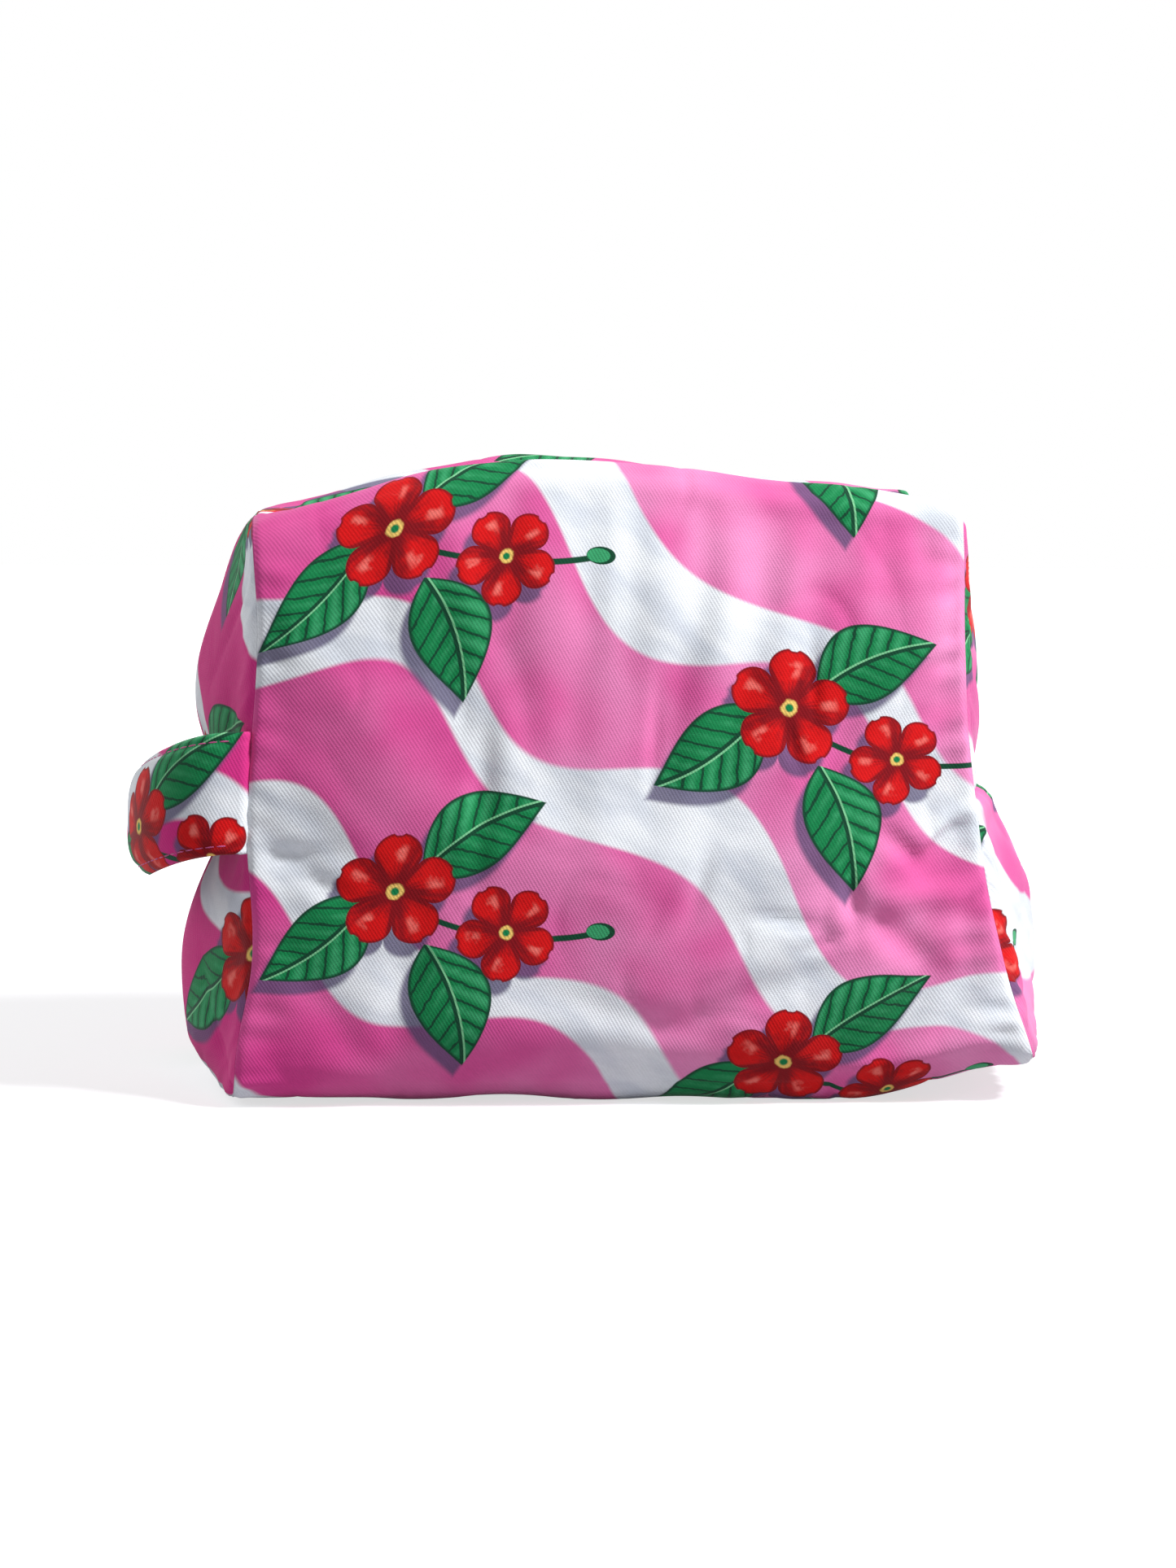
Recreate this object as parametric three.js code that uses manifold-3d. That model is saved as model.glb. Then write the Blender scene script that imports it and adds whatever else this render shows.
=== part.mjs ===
// A soft boxed cosmetic pouch with a top zipper and a carry strap on its left end.
// Millimetres, +Z up. The origin is the middle of the base; the front faces -Y and the strap is at -X.
import * as THREE from "three";
import Module from "manifold-3d";
import { mergeVertices } from "three/addons/utils/BufferGeometryUtils.js";

const wasm = await Module();
wasm.setup();

// Body, measured over the outer cloth.
const BASE_LENGTH = 201; // between the end seams at the base
const TOP_LENGTH = 176; // between the end seams at the top
const TOP_SHIFT = -7.5; // how far the top leans towards the strap
const LEFT_FLARE = 2; // how suddenly the left end widens towards the base
const RIGHT_FLARE = 2.6;
const BASE_DEPTH = 108;
const TOP_DEPTH = 96;
const LEFT_HEIGHT = 144; // at the top of the left end's seams
const RIGHT_HEIGHT = 151;
const PEAK_HEIGHT = 164; // of the long folds before their rounding, where the filling lifts them
const PEAK_AT = -0.2; // as a share of the half length
const ZIP_HEIGHT = 145; // outer face of the cloth beside the zipper
const LEFT_CORNER_LIFT = 1.5; // the base's ends curl up off the table
const RIGHT_CORNER_LIFT = 10;
const LIFT_START = 0.45; // share of the half length where that curl begins
const BASE_PRESS = 1; // how far the rounded base is pressed flat

// Folds and puffs of the cloth.
const MIDDLE_FOLD = 8; // squareness of the long folds in the middle
const END_FOLD = 14; // and at the upright seams, where they are crisp
const FRONT_PUFF = 9;
const BACK_PUFF = 9;
const LEFT_UPPER_PUFF = 11.5; // each end has two, with the cross seam between them
const LEFT_LOWER_PUFF = 15;
const RIGHT_UPPER_PUFF = 8.5;
const RIGHT_LOWER_PUFF = 18;
const PUFF_PEAK = 0.4; // where each puff is fullest, from the cross seam to the fold

// Cloth layers, from the outside in.
const CLOTH = 0.9; // printed twill with its fused interfacing
const PADDING = 1.8;
const LINING = 0.5;
const LAYER_GAP = 0.3; // between layers that lie on each other
const SEAM_GAP = 0.5; // between panels that are sewn edge to edge
const END_EASE = 1.5; // how much smaller the ends' inner layers are cut than the room they have

// Top opening. Shares are of the top's half depth, and lengths are from the zipper's middle.
const HINGE_SHARE = 0.55; // where each flap folds, with the top flat between the two folds
const MITRE_RUN = 18.6; // how much further each flap reaches at its fold than along the zipper
const MITRE_SHARE = 0.31; // where the flap's slanting ends meet its straight ones
const FLAP_SLIT = 0.7; // between a flap and the fixed cloth around it
const FLAP_BEVEL = 1.6; // how far a flap's layers step back per depth, so they clear as it folds
const ZIP_SLOT = 4.7; // half the gap between the two folded cloth edges

// Zipper.
const TAPE_HALF_WIDTH = 14;
const TAPE = 0.6;
const TAPE_EDGE = 2.9; // from the middle line to the tape's inner edge
const TAPE_TAIL = 2; // past the stops, under the cloth
const TOOTH_PITCH = 2.8;
const TOOTH_NECK = 0.7;
const TOOTH_HEAD = 1.5;
const TOOTH_TIP = 1; // how far a tooth reaches past the middle line
const TOOTH_THROAT = 0.2; // from the middle line to where the head begins
const TOOTH_HEIGHT = 2.4;
const BEAD_INNER = 1.6; // the cord that carries the teeth
const BEAD_OUTER = 2.6;
const FLAP_TEETH = 41; // on the front flap; the back one has the half pitches between
const CHAIN_TAIL = 1.8; // bare cord between the last tooth and the stops
const CLOSED_TEETH = 2; // teeth on each short row, short of the parked slider's wedge
const OPEN_TEETH = 4;
const STOP_LENGTH = 1.9;
const STOP_GAP = 0.3;

const CLOSED_END = 1; // the side, 1 for right, where the slider is parked when the zipper is closed

// Slider and pull.
const SLIDER_LENGTH = 11;
const SLIDER_HALF_WIDTH = 4.3;
const SLIDER_PLATE = 1.2;
const SLIDER_CLEARANCE = 0.3;
const WEDGE_LENGTH = 3.5;
const WEDGE_WIDTH = 2;
const BAIL_LENGTH = 7.2;
const BAIL_WIDTH = 1.6;
const BAIL_BAR = 1;
const PULL_LENGTH = 21;
const PULL_WIDTH = 8;
const PULL_EYE_WIDTH = 5.6;
const PULL_EYE_LENGTH = 4.4;
const PULL_THICKNESS = 1.2;
const PULL_NECK = 1.2; // metal past the eye
const PULL_SHOULDER = 4; // over which the neck widens
const PULL_RUN = 0.4; // running room around the bail

// Carry strap.
const STRAP_WIDTH = 30;
const STRAP = 2.4; // four layers of cloth
const STRAP_REACH = 29; // from the end seam to the strap's farthest point
const STRAP_SQUARENESS = 2.4;
const STRAP_HEIGHT = 78; // of the strap's middle at the front seam
const STRAP_DROOP = 12; // how much lower it hangs past its middle
const STRAP_SEAT = 0.5; // between the end seam and the strap's ends

// Facets along and across the panels. All layers share them, so they stay parallel.
const ALONG = 14;
const UP = 8;
const FOLD_STEPS = 3;
const END_UP = 5; // on each half of an end
const FLAP_ALONG = 6;

// Depths of the layers under the outer face.
const cloth = { outer: 0, inner: CLOTH };
const paddingTop = CLOTH + 1.5 * LAYER_GAP;
const padding = { outer: paddingTop, inner: paddingTop + PADDING };
const liningTop = padding.inner + 2 * LAYER_GAP;
const lining = { outer: liningTop, inner: liningTop + LINING };

// Where the chain is cut between the flaps and the fixed ends, from the zipper's middle.
const cutAt = { front: (FLAP_TEETH / 2) * TOOTH_PITCH, back: ((FLAP_TEETH + 1) / 2) * TOOTH_PITCH };
const flapHalfTip = cutAt.front;
const flapHalfRoot = flapHalfTip + MITRE_RUN;
const chainHalf = cutAt.back + OPEN_TEETH * TOOTH_PITCH + CHAIN_TAIL;
const sliderPark = chainHalf - SLIDER_LENGTH / 2 - STOP_GAP;

const halfTop = TOP_DEPTH / 2;
const topHalfLength = TOP_LENGTH / 2;
const foldTrim = (1.3 * SEAM_GAP) / BASE_DEPTH;
const halfHeight = LEFT_HEIGHT / 2;
const crossTrim = (0.5 * SEAM_GAP) / halfHeight;

// Smooth steps and evenly spaced values.
const smooth = (t) => {
  const x = Math.min(1, Math.max(0, t));
  return x * x * (3 - 2 * x);
};
const mix = (a, b, t) => a + (b - a) * t;
const pillow = (t, power = 0.8) => Math.max(0, 1 - t * t) ** power;
const spread = (from, to, steps) =>
  Array.from({ length: steps + 1 }, (_, i) => mix(from, to, i / steps));
const closing = (steps) => spread(-1, 1, steps).map((t) => Math.sin((t * Math.PI) / 2));
const mirrored = (shares) => [...shares.map((t) => -t), 0, ...[...shares].reverse()];

// Height of the long folds, rising from the corners to the peak.
function crownHeight(u) {
  const left = u < PEAK_AT;
  const corner = left ? LEFT_HEIGHT : RIGHT_HEIGHT;
  const away = Math.min(1, (u - PEAK_AT) / ((left ? -1 : 1) - PEAK_AT));
  return mix(PEAK_HEIGHT, corner, away ** 1.6);
}

function halfLength(side, lift) {
  const top = topHalfLength + side * TOP_SHIFT;
  const flare = side < 0 ? LEFT_FLARE : RIGHT_FLARE;
  return top + (BASE_LENGTH / 2 - top) * (1 - lift) ** flare;
}

function halfDepth(lift) {
  return mix(BASE_DEPTH, TOP_DEPTH, lift) / 2;
}

// Outward swelling of an end: two puffs that meet at the cross seam, the lower one blunter.
function endPuff(side, v, w) {
  const upper = side < 0 ? LEFT_UPPER_PUFF : RIGHT_UPPER_PUFF;
  const lower = side < 0 ? LEFT_LOWER_PUFF : RIGHT_LOWER_PUFF;
  const wave = Math.sin(Math.PI * Math.min(1, Math.abs(w)) ** (Math.log(0.5) / Math.log(PUFF_PEAK)));
  return pillow(v, 1.2) * (w > 0 ? upper * wave : lower * Math.max(0, wave) ** 0.5);
}

function cornerLift(u) {
  const lift = u < 0 ? LEFT_CORNER_LIFT : RIGHT_CORNER_LIFT;
  return lift * smooth((Math.abs(u) - LIFT_START) / (1 - LIFT_START)) ** 1.5;
}

// A point of the pouch. u, v and w run from -1 to 1 along X, Y and Z over a cube that the pouch is
// a softened form of. skin is the depth below the long faces and end the depth below the end faces.
function bodyPoint(u, v, w, skin, end) {
  const n = mix(MIDDLE_FOLD, END_FOLD, Math.abs(u) ** 4);
  const reach = Math.max(Math.abs(v), Math.abs(w));
  const round = reach > 0 ? reach / (Math.abs(v) ** n + Math.abs(w) ** n) ** (1 / n) : 1;
  const across = v * round;
  const up = w * round;
  const lift = (1 + up) / 2;
  const height = crownHeight(u);
  const rise = Math.max(0, (Math.abs(v) - HINGE_SHARE) / (1 - HINGE_SHARE));
  const dip = 1 - Math.sin((Math.PI / 2) * Math.min(1, rise));
  const sag = (ZIP_HEIGHT - height) * dip * Math.max(0, w) ** 8;
  const level = height / 2 + up * (height / 2 - skin) + sag;
  const z = Math.max(level - BASE_PRESS * (1 - lift), skin) + cornerLift(u) * (1 - lift) ** 2;
  const puff = (v < 0 ? FRONT_PUFF : BACK_PUFF) * pillow(u) * pillow(w);
  const y = across * (halfDepth(lift) - skin) + v * puff;
  const left = -(halfLength(-1, lift) - end);
  const right = halfLength(1, lift) - end;
  const x = mix(left, right, (1 + u) / 2) + u * endPuff(u, v, w);
  return [x, y, z];
}

// A closed solid from indexed points and faces, turned right side out.
function closedGeometry(points, faces) {
  let volume = 0;
  const at = (i) => new THREE.Vector3(...points[i]);
  for (const [a, b, c] of faces) volume += at(a).dot(at(b).cross(at(c)));
  const turned = volume < 0 ? faces.map(([a, b, c]) => [a, c, b]) : faces;
  const geometry = new THREE.BufferGeometry();
  geometry.setAttribute("position", new THREE.Float32BufferAttribute(points.flat(), 3));
  geometry.setIndex(turned.flat());
  geometry.computeVertexNormals();
  return geometry;
}

// A curved slab between two grids of points, given by outside(i, j) and inside(i, j).
function slab(columns, rows, outside, inside) {
  const points = [];
  for (const side of [outside, inside])
    for (let j = 0; j <= rows; j++) for (let i = 0; i <= columns; i++) points.push(side(i, j));
  const inner = (columns + 1) * (rows + 1);
  const id = (i, j, layer) => layer * inner + j * (columns + 1) + i;
  const faces = [];
  const quad = (a, b, c, d) => faces.push([a, b, c], [a, c, d]);
  for (let j = 0; j < rows; j++)
    for (let i = 0; i < columns; i++) {
      quad(id(i, j, 0), id(i + 1, j, 0), id(i + 1, j + 1, 0), id(i, j + 1, 0));
      quad(id(i, j, 1), id(i, j + 1, 1), id(i + 1, j + 1, 1), id(i + 1, j, 1));
    }
  for (let i = 0; i < columns; i++) {
    quad(id(i, 0, 0), id(i, 0, 1), id(i + 1, 0, 1), id(i + 1, 0, 0));
    quad(id(i, rows, 0), id(i + 1, rows, 0), id(i + 1, rows, 1), id(i, rows, 1));
  }
  for (let j = 0; j < rows; j++) {
    quad(id(0, j, 0), id(0, j + 1, 0), id(0, j + 1, 1), id(0, j, 1));
    quad(id(columns, j, 0), id(columns, j, 1), id(columns, j + 1, 1), id(columns, j + 1, 0));
  }
  return closedGeometry(points, faces);
}

// manifold-3d solids, for the pieces that are cut.
function solid(geometry) {
  const bare = geometry.clone();
  bare.deleteAttribute("normal");
  bare.deleteAttribute("uv");
  const merged = mergeVertices(bare, 1e-4);
  return new wasm.Manifold(
    new wasm.Mesh({
      numProp: 3,
      vertProperties: merged.getAttribute("position").array,
      triVerts: new Uint32Array(merged.getIndex().array),
    }),
  );
}

function geometryOf(manifold) {
  const mesh = manifold.getMesh();
  const geometry = new THREE.BufferGeometry();
  geometry.setAttribute("position", new THREE.BufferAttribute(mesh.vertProperties, 3));
  geometry.setIndex(new THREE.BufferAttribute(mesh.triVerts, 1));
  geometry.computeVertexNormals();
  return geometry;
}

// A box between two corners.
function block(low, high) {
  const size = high.map((value, axis) => value - low[axis]);
  const box = new THREE.BoxGeometry(...size);
  box.translate(...high.map((value, axis) => (value + low[axis]) / 2));
  return box;
}

// A flat outline in X and Y, raised from one height to another.
function raised(outline, bottom, top, holes = []) {
  const shape = new THREE.Shape(outline.map(([x, y]) => new THREE.Vector2(x, y)));
  shape.holes = holes;
  const geometry = new THREE.ExtrudeGeometry(shape, { depth: top - bottom, bevelEnabled: false });
  geometry.translate(0, 0, bottom);
  return geometry;
}

// Shares of the half depth at which every piece that crosses it has a facet's edge.
const foldShares = spread(1, HINGE_SHARE, FOLD_STEPS);
const layerStop = (half) => 1 - (END_EASE * (lining.inner - cloth.inner)) / half;
const crossShares = mirrored([1, layerStop(halfTop), ...foldShares.slice(1), HINGE_SHARE / 2]);

// Long walls. Each runs up from the base fold, over the top fold and in to where its flap hinges.
function wallRows(side) {
  const rising = closing(UP).map((w) => [side, w]);
  rising[0][1] = -1 + foldTrim;
  return [...rising, ...foldShares.slice(1).map((share) => [side * share, 1])];
}

function wall(side, layer) {
  const columns = closing(ALONG);
  const rows = wallRows(side);
  const edge = END_EASE * layer.outer;
  const at = (depth) => (i, j) => bodyPoint(columns[i], ...rows[j], depth, edge);
  return slab(ALONG, rows.length - 1, at(layer.outer), at(layer.inner));
}

function base(layer) {
  const columns = closing(ALONG);
  const rows = crossShares.map((v) => v * (1 - foldTrim));
  const edge = END_EASE * layer.outer;
  const at = (depth) => (i, j) => bodyPoint(columns[i], rows[j], -1, depth, edge);
  return slab(ALONG, rows.length - 1, at(layer.outer), at(layer.inner));
}

// Part of an end, between two shares of its half height, set inside the long walls. The inner
// layers lie straight behind the cloth and stop short of the walls' own layers.
function endPiece(side, layer, low, high) {
  const seat = cloth.inner + SEAM_GAP;
  const stop = layerStop(halfHeight);
  const upright = closing(2 * END_UP).filter((w) => Math.abs(w) < stop - 0.02);
  const between = [-stop, ...upright, stop].filter((w) => w > low + 0.01 && w < high - 0.01);
  const inner = layer !== cloth;
  const rows = inner ? between : [low, ...between, high];
  const columns = inner ? crossShares.slice(1, -1) : crossShares;
  const at = (depth) => (i, j) => bodyPoint(side, columns[i], rows[j], seat, depth);
  return slab(columns.length - 1, rows.length - 1, at(layer.outer), at(layer.inner));
}

// The flap's half length at a depth, as a share of the top's, at a share of the half depth.
function flapShare(v, depth = 0) {
  const share = Math.abs(v) - (FLAP_BEVEL * depth) / halfTop;
  const t = Math.min(1, Math.max(0, (share - MITRE_SHARE) / (HINGE_SHARE - MITRE_SHARE)));
  return mix(flapHalfTip, flapHalfRoot, t) / topHalfLength;
}

function flapRows(side, tipShare) {
  const root = HINGE_SHARE - FLAP_SLIT / halfTop;
  const slanted = spread(root, MITRE_SHARE, 3);
  return [...slanted, ...spread(MITRE_SHARE, tipShare, 2).slice(1)].map((share) => side * share);
}

function flapPiece(side, layer, tip) {
  const rows = flapRows(side, tip / halfTop);
  const columns = spread(-1, 1, FLAP_ALONG);
  const place = (i, j, depth) =>
    bodyPoint(columns[i] * flapShare(rows[j], depth), rows[j], 1, depth, 0);
  return slab(
    FLAP_ALONG,
    rows.length - 1,
    (i, j) => place(i, j, layer.outer),
    (i, j) => place(i, j, layer.inner),
  );
}

// The fixed end of the top, a tapered piece between the two mitred flaps, slotted for the zipper.
function topEnd(side) {
  const edge = HINGE_SHARE - FLAP_SLIT / halfTop;
  const half = [...spread(edge, MITRE_SHARE, 3), MITRE_SHARE / 2];
  const rows = mirrored(half);
  const gap = FLAP_SLIT / topHalfLength;
  const place = (i, j, depth) => {
    const inner = flapShare(rows[j]) + gap;
    return bodyPoint(side * mix(1, inner, i / 5), rows[j], 1, depth, 0);
  };
  const plate = slab(
    5,
    rows.length - 1,
    (i, j) => place(i, j, cloth.outer),
    (i, j) => place(i, j, cloth.inner),
  );
  const slotEnd = side * (chainHalf + STOP_LENGTH + STOP_GAP + LAYER_GAP);
  const slotMouth = side * (flapHalfTip - TOOTH_PITCH);
  const slot = block(
    [TOP_SHIFT + Math.min(slotEnd, slotMouth), -ZIP_SLOT, ZIP_HEIGHT - 2 * CLOTH],
    [TOP_SHIFT + Math.max(slotEnd, slotMouth), ZIP_SLOT, ZIP_HEIGHT + 2 * CLOTH],
  );
  return geometryOf(solid(plate).subtract(solid(slot)));
}

// The strap: a half ring of cloth from the front end seam round to the back one.
function strapPoint(turn, across, thickness) {
  const power = 2 / STRAP_SQUARENESS;
  const height =
    STRAP_HEIGHT + across * STRAP_WIDTH - STRAP_DROOP * smooth(turn / Math.PI / 0.6);
  const lift = height / LEFT_HEIGHT;
  const seat = halfLength(-1, lift) + STRAP_SEAT;
  const curve = (angle) =>
    new THREE.Vector2(
      -seat - STRAP_REACH * Math.max(0, Math.sin(angle)) ** power,
      -halfDepth(lift) * Math.sign(Math.cos(angle)) * Math.abs(Math.cos(angle)) ** power,
    );
  const step = 0.02;
  const tangent = curve(Math.min(Math.PI, turn + step)).sub(curve(Math.max(0, turn - step)));
  tangent.normalize();
  const here = curve(turn);
  return [here.x + tangent.y * -thickness, here.y + tangent.x * -thickness * -1, height];
}

function strap() {
  const steps = 28;
  const turns = spread(0, Math.PI, steps);
  const widths = spread(-0.5, 0.5, 3);
  return slab(
    steps,
    3,
    (i, j) => strapPoint(turns[i], widths[j], 0),
    (i, j) => strapPoint(turns[i], widths[j], -STRAP),
  );
}

// Zipper heights, from the outer face of the cloth down.
const tapeTop = ZIP_HEIGHT - cloth.inner - LAYER_GAP;
const tapeBottom = tapeTop - TAPE;
const chainMiddle = (tapeTop + tapeBottom) / 2;
const teethTop = chainMiddle + TOOTH_HEIGHT / 2;
const teethBottom = chainMiddle - TOOTH_HEIGHT / 2;
const sliderRoofs = { low: teethBottom - SLIDER_CLEARANCE, high: teethTop + SLIDER_CLEARANCE };

// Rows of teeth. Front teeth stand on whole pitches from the middle and back teeth on half ones.
function teethRow(side, from, to, centres) {
  const flip = ([x, y]) => [TOP_SHIFT + x, side * -y];
  const neck = TOOTH_NECK / 2;
  const head = TOOTH_HEAD / 2;
  const round = (TOOTH_HEAD - TOOTH_NECK) / 2;
  const teeth = centres.flatMap((x) => [
    [x - neck, -BEAD_INNER],
    [x - neck, TOOTH_THROAT - round / 2],
    [x - head, TOOTH_THROAT + round / 2],
    [x - head, TOOTH_TIP - round / 2],
    [x - neck, TOOTH_TIP],
    [x + neck, TOOTH_TIP],
    [x + head, TOOTH_TIP - round / 2],
    [x + head, TOOTH_THROAT + round / 2],
    [x + neck, TOOTH_THROAT - round / 2],
    [x + neck, -BEAD_INNER],
  ]);
  const outline = [
    [from, -BEAD_OUTER],
    [from, -BEAD_INNER],
    ...teeth,
    [to, -BEAD_INNER],
    [to, -BEAD_OUTER],
  ].map(flip);
  return raised(outline, teethBottom, teethTop);
}

function toothCentres(row, from, to) {
  const offset = row === "front" ? 0 : TOOTH_PITCH / 2;
  const half = TOOTH_HEAD / 2;
  const centres = [];
  const first = Math.ceil((from + half - offset) / TOOTH_PITCH);
  for (let x = first * TOOTH_PITCH + offset; x <= to - half + 1e-6; x += TOOTH_PITCH)
    centres.push(x);
  return centres;
}

function flapTeeth(row, side) {
  const half = cutAt[row] - SEAM_GAP / 2;
  return teethRow(side, -half, half, toothCentres(row, -half, half));
}

function endTeeth(row, side, end) {
  const near = cutAt[row] + SEAM_GAP / 2;
  const count = end === CLOSED_END ? CLOSED_TEETH : OPEN_TEETH;
  const centres = Array.from({ length: count }, (_, i) => cutAt[row] + (i + 0.5) * TOOTH_PITCH);
  if (end < 0) return teethRow(side, -chainHalf, -near, centres.map((x) => -x).reverse());
  return teethRow(side, near, chainHalf, centres);
}

function flapTape(side) {
  const half = flapHalfTip - SEAM_GAP / 2;
  const inner = side * TAPE_EDGE;
  const outer = side * TAPE_HALF_WIDTH;
  return block(
    [TOP_SHIFT - half, Math.min(inner, outer), tapeBottom],
    [TOP_SHIFT + half, Math.max(inner, outer), tapeTop],
  );
}

// The tape past a flap: both halves, sewn across at the very end.
function tapeEnd(end) {
  const near = flapHalfTip + SEAM_GAP / 2;
  const bridge = chainHalf + STOP_LENGTH + 2 * STOP_GAP;
  const far = bridge + TAPE_TAIL;
  const outline = [
    [near, -TAPE_HALF_WIDTH],
    [far, -TAPE_HALF_WIDTH],
    [far, TAPE_HALF_WIDTH],
    [near, TAPE_HALF_WIDTH],
    [near, TAPE_EDGE],
    [bridge, TAPE_EDGE],
    [bridge, -TAPE_EDGE],
    [near, -TAPE_EDGE],
  ].map(([x, y]) => [TOP_SHIFT + end * x, y]);
  return raised(outline, tapeBottom, tapeTop);
}

// A stop crimped round the tape's edge at the end of a row; both rows share the bottom stop.
function stop(end, sides) {
  const near = chainHalf + STOP_GAP;
  const xs = [TOP_SHIFT + end * near, TOP_SHIFT + end * (near + STOP_LENGTH)].sort((a, b) => a - b);
  const lip = TAPE_EDGE + 1.3;
  const grip = TAPE_EDGE - STOP_GAP;
  const inner = sides.length > 1 ? -lip : STOP_GAP;
  const ys = [sides[0] * inner, sides[0] * lip].sort((a, b) => a - b);
  let piece = solid(block([xs[0], ys[0], teethBottom], [xs[1], ys[1], teethTop]));
  for (const side of sides) {
    const jaw = [side * grip, side * (lip + 1)].sort((a, b) => a - b);
    const low = [xs[0] - 1, jaw[0], tapeBottom - STOP_GAP];
    const high = [xs[1] + 1, jaw[1], tapeTop + STOP_GAP];
    piece = piece.subtract(solid(block(low, high)));
  }
  return geometryOf(piece);
}

// The slider: two plates round the chain, joined by the wedge that parts it, and a bail on top.
// The lengths here are from the middle of the slider, away from the closed end.
const sliderX = TOP_SHIFT + CLOSED_END * sliderPark;
const fromSlider = (x) => sliderX - CLOSED_END * x;
const slotted = (from, to, halfWidth, low, high) => {
  const xs = [fromSlider(from), fromSlider(to)].sort((a, b) => a - b);
  return solid(block([xs[0], -halfWidth, low], [xs[1], halfWidth, high]));
};
const bailFoot = sliderRoofs.high + SLIDER_PLATE;
const pullPivot = bailFoot + PULL_THICKNESS / 2 + PULL_RUN + 0.1;
const bailTop = pullPivot + PULL_THICKNESS * 0.75 + PULL_RUN + BAIL_BAR;

function sliderOutline() {
  const half = SLIDER_LENGTH / 2;
  const shoulder = SLIDER_HALF_WIDTH;
  const tail = SLIDER_HALF_WIDTH * 0.78;
  return [
    [-half, -shoulder * 0.7],
    [-half + 1.2, -shoulder],
    [0, -shoulder],
    [half - 1, -tail],
    [half, -tail * 0.8],
    [half, tail * 0.8],
    [half - 1, tail],
    [0, shoulder],
    [-half + 1.2, shoulder],
    [-half, shoulder * 0.7],
    [-half + 0.8, 0],
  ].map(([x, y]) => [fromSlider(x), y]);
}

function sliderBody() {
  const half = SLIDER_LENGTH / 2;
  const { low, high } = sliderRoofs;
  const whole = solid(raised(sliderOutline(), low - SLIDER_PLATE, high + SLIDER_PLATE));
  const tunnel = slotted(-half - 1, half + 1, BEAD_OUTER + SLIDER_CLEARANCE, low, high);
  const slotLow = tapeBottom - SLIDER_CLEARANCE;
  const slotHigh = tapeTop + SLIDER_CLEARANCE;
  const tapeSlot = slotted(-half - 1, half + 1, SLIDER_HALF_WIDTH + 1, slotLow, slotHigh);
  const nose = 1.2 - half;
  const wedge = [
    [nose, 0],
    [nose + WEDGE_LENGTH * 0.35, -WEDGE_WIDTH / 2],
    [nose + WEDGE_LENGTH, 0],
    [nose + WEDGE_LENGTH * 0.35, WEDGE_WIDTH / 2],
  ].map(([x, y]) => [fromSlider(x), y]);
  const post = solid(raised(wedge, low - SLIDER_PLATE / 2, high + SLIDER_PLATE / 2));
  const arch = BAIL_LENGTH / 2;
  const bail = slotted(-arch, arch, BAIL_WIDTH / 2, bailFoot - SLIDER_PLATE / 2, bailTop);
  const eyeHalf = arch - BAIL_BAR;
  const eye = slotted(-eyeHalf, eyeHalf, BAIL_WIDTH, bailFoot, bailTop - BAIL_BAR);
  return geometryOf(
    whole.subtract(tunnel).subtract(tapeSlot).add(post).add(bail.subtract(eye)),
  );
}

// The pull lies flat, pointing at the closed end. Its crossbar turns under the bail.
function pullTab() {
  const bar = PULL_THICKNESS / 2;
  const eye = PULL_EYE_WIDTH / 2;
  const half = PULL_WIDTH / 2;
  const neck = bar + PULL_EYE_LENGTH + PULL_NECK;
  const shoulder = neck + PULL_SHOULDER;
  const bend = neck + PULL_SHOULDER / 3;
  const tip = PULL_LENGTH - half;
  const shape = new THREE.Shape();
  shape.moveTo(-bar, -eye + 0.6);
  shape.lineTo(-bar + 0.4, -eye);
  shape.lineTo(neck, -eye);
  shape.quadraticCurveTo(bend, -half, shoulder, -half);
  shape.lineTo(tip, -half);
  shape.absarc(tip, 0, half, -Math.PI / 2, Math.PI / 2, false);
  shape.lineTo(shoulder, half);
  shape.quadraticCurveTo(bend, half, neck, eye);
  shape.lineTo(-bar + 0.4, eye);
  shape.lineTo(-bar, eye - 0.6);
  const slotHalf = BAIL_WIDTH / 2 + PULL_RUN;
  const slot = new THREE.Path();
  slot.moveTo(bar, -slotHalf);
  slot.lineTo(bar, slotHalf);
  slot.lineTo(bar + PULL_EYE_LENGTH, slotHalf);
  slot.lineTo(bar + PULL_EYE_LENGTH, -slotHalf);
  const finger = new THREE.Path();
  finger.absarc(tip, 0, half * 0.45, 0, Math.PI * 2, true);
  shape.holes = [slot, finger];
  const settings = { depth: PULL_THICKNESS, bevelEnabled: false, curveSegments: 8 };
  const geometry = new THREE.ExtrudeGeometry(shape, settings);
  if (CLOSED_END < 0) geometry.rotateZ(Math.PI);
  geometry.translate(sliderX, 0, pullPivot - PULL_THICKNESS / 2);
  return geometry;
}

const finishes = {
  print: { color: 0xd9669f, roughness: 0.85, metalness: 0 },
  padding: { color: 0xf2eee6, roughness: 1, metalness: 0 },
  lining: { color: 0xf3d9e6, roughness: 0.7, metalness: 0 },
  tape: { color: 0xe27db0, roughness: 0.8, metalness: 0 },
  teeth: { color: 0xdf86b4, roughness: 0.4, metalness: 0 },
  metal: { color: 0xc9ccd2, roughness: 0.25, metalness: 1 },
};

const pouch = new THREE.Group();

function addPiece(name, finish, geometry) {
  const mesh = new THREE.Mesh(geometry, new THREE.MeshStandardMaterial(finishes[finish]));
  mesh.name = name;
  pouch.add(mesh);
}

const sides = { front: -1, back: 1 };
const ends = { left: -1, right: 1 };

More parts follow.
